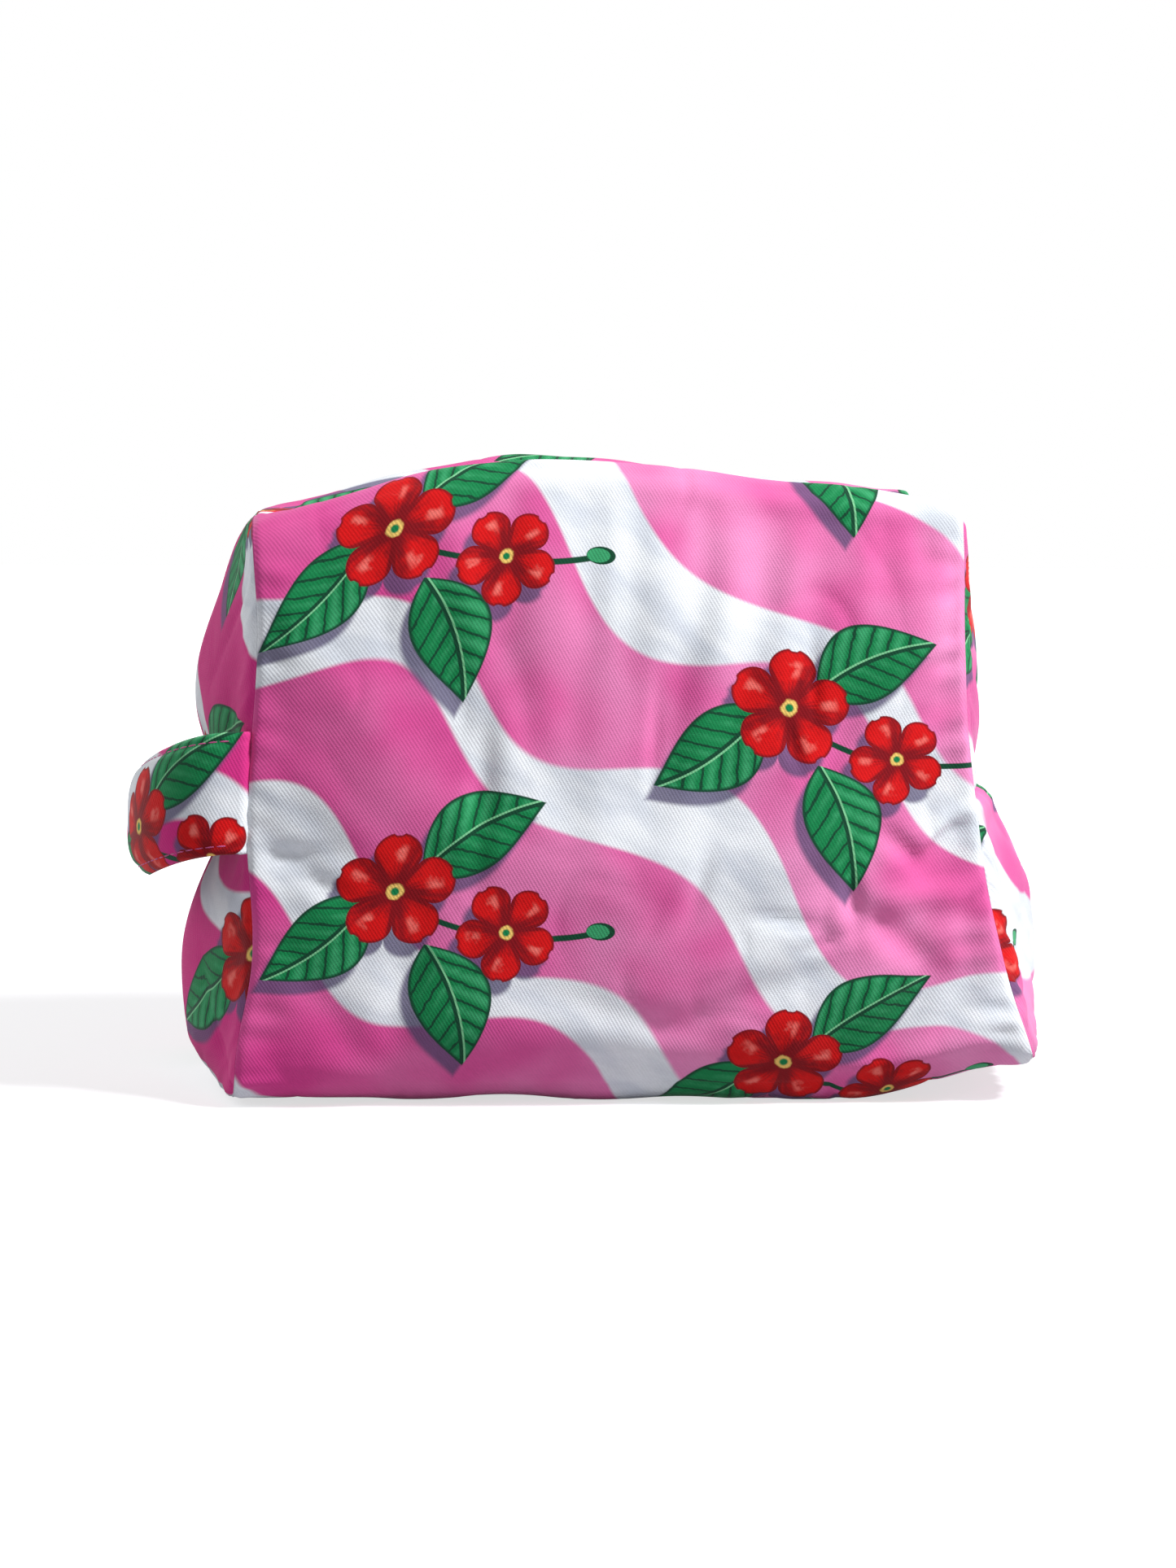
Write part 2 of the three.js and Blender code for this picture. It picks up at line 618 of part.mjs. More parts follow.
// Printed cloth.
for (const [name, side] of Object.entries(sides)) {
  addPiece(`${name}_panel`, "print", wall(side, cloth));
  addPiece(`${name}_flap`, "print", flapPiece(side, cloth, ZIP_SLOT));
}
addPiece("base_panel", "print", base(cloth));
for (const [name, side] of Object.entries(ends)) {
  addPiece(`${name}_end_upper`, "print", endPiece(side, cloth, crossTrim, 1));
  addPiece(`${name}_end_lower`, "print", endPiece(side, cloth, -1, -crossTrim));
  addPiece(`${name}_top_end`, "print", topEnd(side));
}
addPiece("carry_strap", "print", strap());

// Padding and lining.
for (const [name, side] of Object.entries(sides)) {
  addPiece(`${name}_padding`, "padding", wall(side, padding));
  addPiece(`${name}_lining`, "lining", wall(side, lining));
  const paddingTip = TAPE_HALF_WIDTH + 2 * LAYER_GAP;
  addPiece(`${name}_flap_padding`, "padding", flapPiece(side, padding, paddingTip));
  addPiece(`${name}_flap_lining`, "lining", flapPiece(side, lining, ZIP_SLOT + LAYER_GAP));
}
addPiece("base_padding", "padding", base(padding));
addPiece("base_lining", "lining", base(lining));
for (const [name, side] of Object.entries(ends)) {
  addPiece(`${name}_padding`, "padding", endPiece(side, padding, -1, 1));
  addPiece(`${name}_lining`, "lining", endPiece(side, lining, -1, 1));
}

// Zipper.
for (const [row, side] of Object.entries(sides)) {
  addPiece(`${row}_zip_tape`, "tape", flapTape(side));
  addPiece(`${row}_zip_teeth`, "teeth", flapTeeth(row, side));
  addPiece(`left_teeth_${row}`, "teeth", endTeeth(row, side, -1));
  addPiece(`right_teeth_${row}`, "teeth", endTeeth(row, side, 1));
  addPiece(`top_stop_${row}`, "metal", stop(CLOSED_END, [side]));
}
for (const [name, side] of Object.entries(ends))
  addPiece(`${name}_tape_end`, "tape", tapeEnd(side));
addPiece("bottom_stop", "metal", stop(-CLOSED_END, [-1, 1]));
addPiece("zip_slider", "metal", sliderBody());
addPiece("zip_pull", "metal", pullTab());

export default pouch;
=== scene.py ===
"""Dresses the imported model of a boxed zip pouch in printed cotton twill.

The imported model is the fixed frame. Sizes are metres: X runs along the zipper towards the slider,
Y goes to the back and Z goes up from the surface the pouch stands on.
"""

from __future__ import annotations

import logging
import math
from dataclasses import dataclass
from enum import Enum
from typing import Callable, ClassVar, Sequence

import bmesh
import bpy
import numpy as np
from bpy.types import Material, Mesh, NodeSocket, NodeTree
from mathutils import Matrix, Vector


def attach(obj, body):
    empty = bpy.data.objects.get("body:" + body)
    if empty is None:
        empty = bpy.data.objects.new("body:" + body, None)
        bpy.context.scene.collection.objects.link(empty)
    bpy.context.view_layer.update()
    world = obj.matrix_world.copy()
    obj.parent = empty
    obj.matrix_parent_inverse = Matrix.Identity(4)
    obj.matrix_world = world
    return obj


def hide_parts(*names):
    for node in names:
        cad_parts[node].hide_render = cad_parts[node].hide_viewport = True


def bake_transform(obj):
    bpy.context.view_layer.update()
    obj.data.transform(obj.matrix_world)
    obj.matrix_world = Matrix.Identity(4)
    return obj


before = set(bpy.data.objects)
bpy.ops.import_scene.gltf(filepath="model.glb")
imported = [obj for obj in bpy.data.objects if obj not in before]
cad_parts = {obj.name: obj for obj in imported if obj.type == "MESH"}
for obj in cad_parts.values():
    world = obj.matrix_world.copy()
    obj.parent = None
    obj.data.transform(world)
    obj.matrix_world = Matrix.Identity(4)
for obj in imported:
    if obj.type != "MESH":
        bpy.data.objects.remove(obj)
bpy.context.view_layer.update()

MM = 0.001
PER_METRE = 1000.0  # millimetres
CLOTH_PLACE = "cloth_place"  # where a point lay on the flat printed cloth, in metres
STOP_EDGE = 0.2 * MM  # how far the edges of the zipper's stops are rounded
MID_BASE = 0.002  # share across at which the long cloths meet, just clear of each other
GOLDEN_ANGLE = 2.39996  # radians
RIPPLE_WAVES = 5
RIPPLE_SHORTER = 0.37  # how much each wave of a ripple is shorter than the last
RIPPLE_LOWER = 0.5  # and how much lower
RIPPLE_SUM = 2.2  # what brings their sum back to about 1

log = logging.getLogger("pouch")

Array = np.ndarray
Colour = tuple[int, int, int]
Pair = tuple[float, float]
Piece = bpy.types.Object


class Choice(Enum):
    """A choice that the names of pieces spell out."""

    @property
    def word(self) -> str:
        """The choice's name in lower case."""
        return self.name.lower()


class Side(Choice):
    """A long side of the pouch; its value is the sign of Y there."""

    FRONT = -1
    BACK = 1


class End(Choice):
    """A short end of the pouch; its value is the sign of X there."""

    LEFT = -1
    RIGHT = 1


class Half(Choice):
    """A half of an end, cut by its cross seam; its value is the sign of the share of height."""

    LOWER = -1
    UPPER = 1


# Small sums


def smooth(t: Array | float) -> Array:
    """Eases from 0 at t = 0 to 1 at t = 1 and stays there outside."""
    t = np.clip(t, 0.0, 1.0)
    return t * t * (3 - 2 * t)


def mix(a: Array | float, b: Array | float, t: Array | float) -> Array:
    """The value that lies t of the way from a to b."""
    return a + (b - a) * t


def pillow(t: Array, power: float = 0.8) -> Array:
    """A crown that is 1 in the middle and 0 at t = -1 and 1."""
    return np.maximum(0.0, 1 - t * t) ** power


def hump(t: Array) -> Array:
    """A bell curve that is 1 at t = 0 and has died away by t = 2."""
    return np.exp(-(t ** 2))


def unit(vectors: Array) -> Array:
    """The vectors brought to length 1."""
    return vectors / np.maximum(np.linalg.norm(vectors, axis=-1, keepdims=True), 1e-9)


def denser_ends(count: int) -> Array:
    """Shares from -1 to 1 that lie closer together near both ends.

    Args:
        count: how many steps the shares make.

    Returns:
        count + 1 rising shares.
    """
    t = np.linspace(-1, 1, count + 1)
    return 0.5 * t + 0.5 * np.sin(t * math.pi / 2)


def ripple(a: Array, b: Array, pitch: float, seed: float) -> Array:
    """An even, unrepeating swell over a surface, made of a few sine waves.

    Args:
        a: first coordinate of each point, in metres.
        b: second coordinate of each point, in metres.
        pitch: length of the longest wave, in metres.
        seed: shifts the waves, so two cloths differ.

    Returns:
        A height from about -1 to 1 at each point.
    """
    total = np.zeros_like(a)
    for step in range(RIPPLE_WAVES):
        turn = seed + step * GOLDEN_ANGLE
        wave = pitch / (1 + RIPPLE_SHORTER * step)
        run = a * math.cos(turn) + b * math.sin(turn)
        phase = seed * (step + 1.7)
        total = total + np.sin(2 * math.pi * run / wave + phase) / (1 + RIPPLE_LOWER * step)
    return total / RIPPLE_SUM


def linear(colour: Colour) -> tuple[float, float, float, float]:
    """A colour as shaders hold it.

    Args:
        colour: red, green and blue from 0 to 255, as a picture shows them.

    Returns:
        Linear red, green and blue with an opaque alpha.
    """
    shares = (c / 255 for c in colour)
    red, green, blue = (c / 12.92 if c <= 0.04045 else ((c + 0.055) / 1.055) ** 2.4 for c in shares)
    return red, green, blue, 1.0


# Shader sums


class Shade:
    """A value or colour that varies over a surface: a shader socket that arithmetic adds nodes to."""

    def __init__(self, tree: NodeTree, socket: NodeSocket) -> None:
        """Keeps the node tree and the socket that gives the value."""
        self.tree = tree
        self.socket = socket

    def _math(self, operation: str, *others: Shade | float) -> Shade:
        """Adds a Math node.

        Args:
            operation: the node's operation.
            others: what goes into its further inputs.

        Returns:
            The node's result.
        """
        node = self.tree.nodes.new("ShaderNodeMath")
        node.operation = operation
        for entry, value in zip(node.inputs, (self, *others)):
            if isinstance(value, Shade):
                self.tree.links.new(value.socket, entry)
            else:
                entry.default_value = value
        return Shade(self.tree, node.outputs[0])

    def __add__(self, other: Shade | float) -> Shade:
        """The sum."""
        return self._math("ADD", other)

    def __sub__(self, other: Shade | float) -> Shade:
        """The difference."""
        return self._math("SUBTRACT", other)

    def __mul__(self, other: Shade | float) -> Shade:
        """The product."""
        return self._math("MULTIPLY", other)

    def __neg__(self) -> Shade:
        """The value with its sign turned."""
        return self._math("MULTIPLY", -1.0)

    def over(self, other: Shade | float) -> Shade:
        """The value divided by another."""
        return self._math("DIVIDE", other)

    def power(self, exponent: float) -> Shade:
        """The value raised to a power."""
        return self._math("POWER", exponent)

    def size(self) -> Shade:
        """The value without its sign."""
        return self._math("ABSOLUTE")

    def sine(self) -> Shade:
        """The sine of an angle in radians."""
        return self._math("SINE")

    def swing(self, pitch: float) -> Shade:
        """A wave from -1 to 1 that comes again after each pitch."""
        return (self * (2 * math.pi / pitch)).sine()

    def wave(self, pitch: float) -> Shade:
        """The same wave from 0 to 1."""
        return self.swing(pitch) * 0.5 + 0.5

    def angle_from(self, run: Shade) -> Shade:
        """The angle in radians of a slope with this value as its rise."""
        return self._math("ARCTAN2", run)

    def floor(self) -> Shade:
        """The whole number below the value."""
        return self._math("FLOOR")

    def most(self, other: Shade | float) -> Shade:
        """The greater of two values."""
        return self._math("MAXIMUM", other)

    def wrapped(self, span: float) -> Shade:
        """The value's place in a repeat of a given span, measured from the repeat's middle."""
        return self - (self.over(span) + 0.5).floor() * span

    def rise(self, low: float, high: float) -> Shade:
        """Eases from 0 where the value is low to 1 where it is high.

        Args:
            low: the value that gives 0.
            high: the value that gives 1, which may be the lesser.

        Returns:
            A share from 0 to 1.
        """
        node = self.tree.nodes.new("ShaderNodeMapRange")
        node.interpolation_type = "SMOOTHSTEP"
        flipped = high < low
        node.inputs["From Min"].default_value = min(low, high)
        node.inputs["From Max"].default_value = max(low, high)
        node.inputs["To Min"].default_value = 1.0 if flipped else 0.0
        node.inputs["To Max"].default_value = 0.0 if flipped else 1.0
        self.tree.links.new(self.socket, node.inputs["Value"])
        return Shade(self.tree, node.outputs["Result"])

    def between(self, under: Shade | Colour, upper: Shade | Colour) -> Shade:
        """Mixes two colours by this share.

        Args:
            under: the colour where the share is 0.
            upper: the colour where the share is 1.

        Returns:
            The mixed colour.
        """
        node = self.tree.nodes.new("ShaderNodeMix")
        node.data_type = "RGBA"
        self.tree.links.new(self.socket, node.inputs[0])
        for entry, colour in ((node.inputs[6], under), (node.inputs[7], upper)):
            if isinstance(colour, Shade):
                self.tree.links.new(colour.socket, entry)
            else:
                entry.default_value = linear(colour)
        return Shade(self.tree, node.outputs[2])


class ShaderBench:
    """A new material with a Principled shader, and what its patterns start from."""

    def __init__(self, name: str) -> None:
        """Makes the material and finds its shader."""
        self.material = bpy.data.materials.new(name)
        self.material.use_nodes = True
        self.tree = self.material.node_tree
        self.shader = self.tree.nodes["Principled BSDF"]

    def place(self) -> tuple[Shade, Shade, Shade]:
        """Where the point lay on the flat cloth, in millimetres, and 1000 times the cloth's number."""
        node = self.tree.nodes.new("ShaderNodeAttribute")
        node.attribute_name = CLOTH_PLACE
        return self._split(node.outputs["Vector"])

    def spot(self) -> tuple[Shade, Shade, Shade]:
        """Where the point is on its object, in millimetres."""
        node = self.tree.nodes.new("ShaderNodeTexCoord")
        return self._split(node.outputs["Object"])

    def _split(self, vector: NodeSocket) -> tuple[Shade, Shade, Shade]:
        """Splits a vector in metres into three values in millimetres."""
        parts = self.tree.nodes.new("ShaderNodeSeparateXYZ")
        self.tree.links.new(vector, parts.inputs[0])
        x, y, z = (Shade(self.tree, part) * PER_METRE for part in parts.outputs)
        return x, y, z

    def noise(self, parts: Sequence[Shade], pitch: float, detail: float = 2.0) -> Shade:
        """Soft noise.

        Args:
            parts: three coordinates in millimetres.
            pitch: size of the noise's blots, in millimetres.
            detail: how many finer layers the noise has.

        Returns:
            A value around 0.5.
        """
        joined = self.tree.nodes.new("ShaderNodeCombineXYZ")
        for part, entry in zip(parts, joined.inputs):
            self.tree.links.new(part.socket, entry)
        node = self.tree.nodes.new("ShaderNodeTexNoise")
        node.inputs["Scale"].default_value = 1.0 / pitch
        node.inputs["Detail"].default_value = detail
        self.tree.links.new(joined.outputs[0], node.inputs["Vector"])
        return Shade(self.tree, node.outputs[0])

    def set(self, **values: float | Colour) -> None:
        """Sets constants on the shader's own sockets, with _ for the spaces in their names."""
        for name, value in values.items():
            entry = self.shader.inputs[name.replace("_", " ")]
            entry.default_value = linear(value) if isinstance(value, tuple) else value

    def colour(self, shade: Shade) -> None:
        """Links a colour to the shader."""
        self.tree.links.new(shade.socket, self.shader.inputs["Base Color"])

    def roughness(self, shade: Shade, least: float, most: float) -> None:
        """Links a roughness that follows a pattern from its least to its most."""
        varied = shade * (most - least) + least
        self.tree.links.new(varied.socket, self.shader.inputs["Roughness"])

    def bump(self, height: Shade, deep: float) -> None:
        """Presses a height pattern into the surface.

        Args:
            height: the pattern, from 0 to 1.
            deep: how far 1 stands over 0, in metres.
        """
        node = self.tree.nodes.new("ShaderNodeBump")
        node.inputs["Strength"].default_value = 1.0
        node.inputs["Distance"].default_value = deep
        self.tree.links.new(height.socket, node.inputs["Height"])
        self.tree.links.new(node.outputs[0], self.shader.inputs["Normal"])

    def toned(self, colour: Shade, value: Shade) -> Shade:
        """A colour made darker or lighter.

        Args:
            colour: the colour.
            value: how bright it becomes, with 1 for no change.

        Returns:
            The new colour.
        """
        node = self.tree.nodes.new("ShaderNodeHueSaturation")
        self.tree.links.new(colour.socket, node.inputs["Color"])
        self.tree.links.new(value.socket, node.inputs["Value"])
        return Shade(self.tree, node.outputs[0])


# Finishes


@dataclass(frozen=True)
class Finish:
    """What a surface is made of. Each kind paints a material of its own.

    Pitches are millimetres and reliefs are metres.
    """

    name: ClassVar[str] = ""
    slot: ClassVar[str] = ""

    def paint(self, bench: ShaderBench) -> None:
        """Sets the shader of a new material."""
        raise NotImplementedError

    def material(self) -> Material:
        """The finish's material, made when it is first asked for."""
        known = bpy.data.materials.get(self.name)
        if known:
            return known
        bench = ShaderBench(self.name)
        self.paint(bench)
        return bench.material

    def dress(self, piece: Piece) -> None:
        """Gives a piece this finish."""
        piece.data.materials.clear()
        piece.data.materials.append(self.material())


@dataclass(frozen=True)
class Blossom:
    """A red blossom of the print, with five notched petals. Its lengths are millimetres."""

    at: Pair  # its middle in the repeat
    radius: float  # from its middle to a petal's tip
    turn: float  # radians
    cut: float = 0.44  # how deep the petals are parted, as a share of the radius
    notch: float = 0.05  # how deep a petal's tip is notched, the same way
    rim: Pair = (1.1, 0.1)  # where a petal's dark border fades and is full
    softness: float = 0.2  # of the outline
    red: Colour = (220, 8, 12)
    dark_red: Colour = (132, 0, 16)
    gleam: Colour = (252, 132, 122)
    stamen: Colour = (246, 206, 112)
    green: Colour = (8, 128, 72)

    strokes: float = 9.0  # brush strokes on a petal
    stroke_light: float = 0.14
    half_shade: float = 0.16  # how much darker one half of a petal is
    gleam_from: Pair = (0.46, 0.62)  # shares of the radius, as the four below
    gleam_to: Pair = (0.84, 0.72)
    throat: Pair = (0.3, 0.2)
    eye: Pair = (0.21, 0.16)
    heart: Pair = (0.09, 0.05)

    def outline(self, a: Shade, b: Shade) -> tuple[Shade, Shade, Shade, Shade]:
        """Where a point lies in the blossom.

        Args:
            a: place across the repeat.
            b: place up the repeat.

        Returns:
            How far inside the outline a point is, its share of the radius, its nearness to the
            middle of a petal and its side of that middle.
        """
        across, rise = a - self.at[0], b - self.at[1]
        out = (across * across + rise * rise).power(0.5)
        angle = (rise.angle_from(across) + self.turn) * 2.5
        lobe = angle.sine().size()
        share = out.over(self.radius)
        notch = share.rise(0.8, 1.0) * lobe.rise(0.97, 1.0) * (self.notch * self.radius)
        edge = lobe.power(0.5) * (self.cut * self.radius) + (1 - self.cut) * self.radius
        return edge - out - notch, share, lobe, (angle * 2.0).sine()

    def paint(self, a: Shade, b: Shade, brush: Shade, under: Shade) -> Shade:
        """Paints the blossom over a colour.

        Args:
            a: place across the repeat.
            b: place up the repeat.
            brush: uneven brushwork.
            under: the colour that the blossom lies on.

        Returns:
            The colour with the blossom.
        """
        inside, out, lobe, half = self.outline(a, b)
        strokes = (half * self.strokes + brush * 5.0).sine() * self.stroke_light + (brush - 0.5) * 0.7
        light = lobe.power(0.7) * out.rise(0.0, 0.7) + strokes * out.rise(0.1, 0.5)
        light = light - half * self.half_shade
        body = light.rise(0.12, 0.95).between(self.dark_red, self.red)
        gleam = lobe.rise(0.78, 1.0) * out.rise(*self.gleam_from) * out.rise(*self.gleam_to)
        petals = (gleam * (brush + half * 0.3).rise(0.35, 0.75) * 0.8).between(body, self.gleam)
        petals = inside.rise(*self.rim).between(petals, self.dark_red)
        painted = inside.rise(-self.softness, self.softness).between(under, petals)
        painted = (out + brush * 0.12).rise(*self.throat).between(painted, self.dark_red)
        painted = (out + brush * 0.1).rise(*self.eye).between(painted, self.stamen)
        return out.rise(*self.heart).between(painted, self.green)


@dataclass(frozen=True)
class Leaf:
    """A pointed, ribbed leaf of the print. Its lengths are millimetres."""

    at: Pair  # its middle in the repeat
    angle: float  # where its tip points, in degrees
    length: float = 17.0  # from its middle to its tip
    half: float = 9.6
    taper: float = 0.34  # how much narrower it is towards the tip
    bow: float = 2.6  # how far its rib bends
    vein_pitch: float = 5.6
    vein_lean: float = 0.9
    rim: Pair = (1.3, 0.3)  # where its dark border fades and is full
    rib_shade: Pair = (0.7, 0.35)
    rib_off: float = 0.7  # from the shade beside the rib to the rib
    rib: Pair = (0.35, 0.15)
    softness: float = 0.2  # of the outline
    green: Colour = (8, 128, 72)
    dark_green: Colour = (2, 66, 42)
    light_green: Colour = (58, 164, 108)
    rib_green: Colour = (128, 204, 150)

    def outline(self, a: Shade, b: Shade) -> tuple[Shade, Shade, Shade]:
        """Where a point lies in the leaf.

        Args:
            a: place across the repeat.
            b: place up the repeat.

        Returns:
            How far inside the outline a point is, its place along the leaf and off its rib.
        """
        across, rise = a - self.at[0], b - self.at[1]
        turn = math.radians(self.angle)
        run = across * math.cos(turn) + rise * math.sin(turn)
        off = rise * math.cos(turn) - across * math.sin(turn)
        share = run.over(self.length)
        full = (-(share * share) + 1.0).most(-0.4)
        belly = full * (share * -self.taper + 1.0).most(0.3) * self.half
        bowed = off + share * share * self.bow - self.bow / 2
        return belly - bowed.size(), run, bowed

    def paint(self, a: Shade, b: Shade, brush: Shade, under: Shade) -> Shade:
        """Paints the leaf over a colour.

        Args:
            a: place across the repeat.
            b: place up the repeat.
            brush: uneven brushwork.
            under: the colour that the leaf lies on.

        Returns:
            The colour with the leaf.
        """
        inside, run, off = self.outline(a, b)
        swell = (run - off.size() * self.vein_lean + brush * 1.6).swing(self.vein_pitch)
        body = (swell * 0.35 + brush * 0.8 + off.over(self.half) * 0.4).rise(0.25, 1.2)
        body = body.between(self.green, self.light_green)
        body = swell.rise(-0.8, -0.97).between(body, self.dark_green)
        body = inside.rise(*self.rim).between(body, self.dark_green)
        ribbed = off.size().rise(*self.rib_shade).between(body, self.dark_green)
        ribbed = (off - self.rib_off).size().rise(*self.rib).between(ribbed, self.rib_green)
        return inside.rise(-self.softness, self.softness).between(under, ribbed)


@dataclass(frozen=True)
class Stem:
    """The thin, bowed stem that joins a repeat's motifs, and the bud at its end, in millimetres."""

    bend: float = 0.009
    slope: float = 0.42
    drop: float = 1.0
    half: Pair = (0.95, 0.6)  # where its edge starts and is full, as the rest
    start: Pair = (-24.0, -23.0)
    stop: Pair = (37.0, 36.0)
    bud_at: Pair = (38.0, -3.8)
    bud_length: float = 0.4  # the less, the longer the bud
    bud_rim: Pair = (5.4, 4.6)  # squared lengths, as the next
    bud_light: Pair = (3.4, 2.6)
    dark_green: Colour = (2, 66, 42)
    light_green: Colour = (58, 164, 108)

    def paint(self, a: Shade, b: Shade, under: Shade) -> Shade:
        """Paints the stem and its bud over a colour.

        Args:
            a: place across the repeat.
            b: place up the repeat.
            under: the colour that they lie on.

        Returns:
            The colour with the stem and the bud.
        """
        bow = a * a * self.bend - a * self.slope - self.drop
        stem = (b - bow).size().rise(*self.half) * a.rise(*self.start) * a.rise(*self.stop)
        colour = stem.between(under, self.dark_green)
        along, across = a - self.bud_at[0], b - self.bud_at[1]
        bud = along * along * self.bud_length + across * across
        colour = bud.rise(*self.bud_rim).between(colour, self.dark_green)
        return (bud + along * 0.5).rise(*self.bud_light).between(colour, self.light_green)


@dataclass(frozen=True)
class PrintedTwill(Finish):
    """Cotton twill with a bold print: wavy white bands on pink, red blossoms and green leaves.

    The print's lengths are millimetres.
    """

    name: ClassVar[str] = "printed_twill"
    slot: ClassVar[str] = "printed_cloth"

    pink: Colour = (241, 147, 199)
    deep_pink: Colour = (224, 93, 162)
    left_shade_pink: Colour = (216, 40, 138)  # painted shade, deepest towards the strap end
    end_shade_pink: Colour = (214, 0, 122)  # painted shade on the strap end itself and the strap
    white: Colour = (243, 247, 252)
    shaded_white: Colour = (216, 222, 232)
    violet: Colour = (88, 78, 118)

    cloth_shift: float = 37.0  # how far the print moves with each thousandth of a cloth's number
    cloud_pitch: float = 36.0
    cloud_range: Pair = (0.33, 0.68)
    cloud_reach: float = 30.0  # how far the clouds shift the painted shade
    deepens_from: float = 20.0  # where the painted shade starts, along the pouch
    deepest_at: float = -130.0
    painted_shade_share: float = 0.8
    # painted shade on the strap end's cloths and the strap, as the next
    end_shade_share: float = 0.7
    end_cloud: float = 0.3  # how much the clouds lighten it
    end_from: Pair = (1.6, 1.9)  # the strap end's cloths have numbers from here
    end_to: Pair = (2.6, 2.9)  # to here
    strap_from: Pair = (5.4, 5.8)  # and the strap's is over this
    band_angle: float = -35.0  # degrees
    band_pitch: float = 56.0
    band_half: float = 9.4
    band_softness: float = 0.8
    band_swell: float = 3.6
    swell_wavelength: float = 131.0
    swell_lean: float = 0.05  # radians from band to band
    band_wave: float = 9.0
    band_wavelength: float = 92.0
    shade_pitch: float = 9.0
    repeat_along: float = 96.0
    repeat_up: float = 92.0
    blossoms: tuple[Blossom, ...] = (
        Blossom(at=(-12.0, 8.0), radius=15.0, turn=0.4),
        Blossom(at=(15.0, -4.0), radius=12.5, turn=1.1),
    )
    leaves: tuple[Leaf, ...] = (
        Leaf(at=(9.0, 21.0), angle=28.0),
        Leaf(at=(-31.0, -4.0), angle=-142.0),
        Leaf(at=(1.0, -22.0), angle=-74.0),
    )
    stem: Stem = Stem()
    shadow_shift: Pair = (2.16, 3.6)
    shadow_edge: Pair = (-0.9, 1.1)
    shadow_dye: float = 0.85
    brush_pitch: float = 2.4
    twill_pitch: float = 0.76
    twill_run: float = 0.866  # the ribs' slant is 30 degrees
    twill_rise: float = 0.5
    twill_light: float = 0.05  # how much the ribs lighten the cloth
    weft_pitch: float = 0.4712
    weft_run: float = -0.2
    weft_rise: float = 0.98
    weft_light: float = 0.03
    fuzz_pitch: float = 0.7
    fuzz_light: float = 0.12
    slub_pitch: float = 2.6
    slub_light: float = 0.06
    wear_pitch: float = 28.0
    wear_light: float = 0.15
    least_light: float = 0.8
    relief: float = 0.00008
    rough: Pair = (0.76, 0.9)

    def paint(self, bench: ShaderBench) -> None:
        """Sets the shader of a new material.

        Args:
            bench: the material's bench.
        """
        along, up, cloth = bench.place()
        along = along + cloth * self.cloth_shift
        colour = self._bands(bench, along, up, self._ground(bench, along, up, cloth))
        a, b = self._repeat(along, up)
        brush = bench.noise((along, up, cloth), self.brush_pitch, 3.0)
        colour = self.stem.paint(a, b, self._shadows(a, b, colour))
        for motif in (*self.leaves, *self.blossoms):
            colour = motif.paint(a, b, brush, colour)
        self._weave(bench, along, up, cloth, colour)

    def _ground(self, bench: ShaderBench, along: Shade, up: Shade, cloth: Shade) -> Shade:
        """The pink ground, a little uneven as dyed cotton is, with painted shade that deepens it towards
        the strap end and on the strap end and the strap.

        Args:
            bench: the material's bench.
            along: place along the cloth.
            up: place up the cloth.
            cloth: a thousand times the cloth's number.

        Returns:
            The colour.
        """
        cloud = bench.noise((along, up, along * 0.0), self.cloud_pitch)
        ground = cloud.rise(*self.cloud_range).between(self.pink, self.deep_pink)
        # painted shade: the pink is darkened towards the strap end, along the pouch
        shifted = bench.spot()[0] + (cloud - 0.5) * self.cloud_reach
        depth = shifted.rise(self.deepens_from, self.deepest_at) * self.painted_shade_share
        ground = depth.between(ground, self.left_shade_pink)
        # painted shade on the strap end's cloths and the strap, picked out by the cloth's number
        number = cloth * MM
        on_end = number.rise(*self.end_from) - number.rise(*self.end_to) + number.rise(*self.strap_from)
        return (on_end * (cloud * -self.end_cloud + self.end_shade_share)).between(ground, self.end_shade_pink)

    def _bands(self, bench: ShaderBench, along: Shade, up: Shade, under: Shade) -> Shade:
        """Lays slanting, wavy white bands on a colour.

        Args:
            bench: the material's bench.
            along: place along the cloth.
            up: place up the cloth.
            under: the colour that the bands lie on.

        Returns:
            The colour with the bands.
        """
        turn = math.radians(self.band_angle)
        run = along * math.cos(turn) + up * math.sin(turn)
        rise = up * math.cos(turn) - along * math.sin(turn)
        swell = run * (2 * math.pi / self.swell_wavelength) + rise * self.swell_lean
        half = swell.sine() * self.band_swell + self.band_half
        middle = (rise + run.swing(self.band_wavelength) * self.band_wave).wrapped(self.band_pitch)
        share = (half - middle.size()).rise(-self.band_softness, self.band_softness)
        cloud = bench.noise((run * 0.4, rise, rise * 0.0), self.shade_pitch)
        return share.between(under, cloud.rise(0.35, 0.75).between(self.white, self.shaded_white))

    def _repeat(self, along: Shade, up: Shade) -> tuple[Shade, Shade]:
        """Folds the cloth into one repeat, with every second column dropped by half a repeat."""
        column = along.over(self.repeat_along).floor()
        odd = column - column.over(2.0).floor() * 2.0
        a = along - column * self.repeat_along - self.repeat_along / 2
        return a, (up + odd * (self.repeat_up / 2)).wrapped(self.repeat_up)

    def _shadows(self, a: Shade, b: Shade, under: Shade) -> Shade:
        """Paints the soft violet shade that the print shows under its motifs."""
        x, y = a + self.shadow_shift[0], b + self.shadow_shift[1]
        nearest, *others = (motif.outline(x, y)[0] for motif in (*self.leaves, *self.blossoms))
        for other in others:
            nearest = nearest.most(other)
        return (nearest.rise(*self.shadow_edge) * self.shadow_dye).between(under, self.violet)

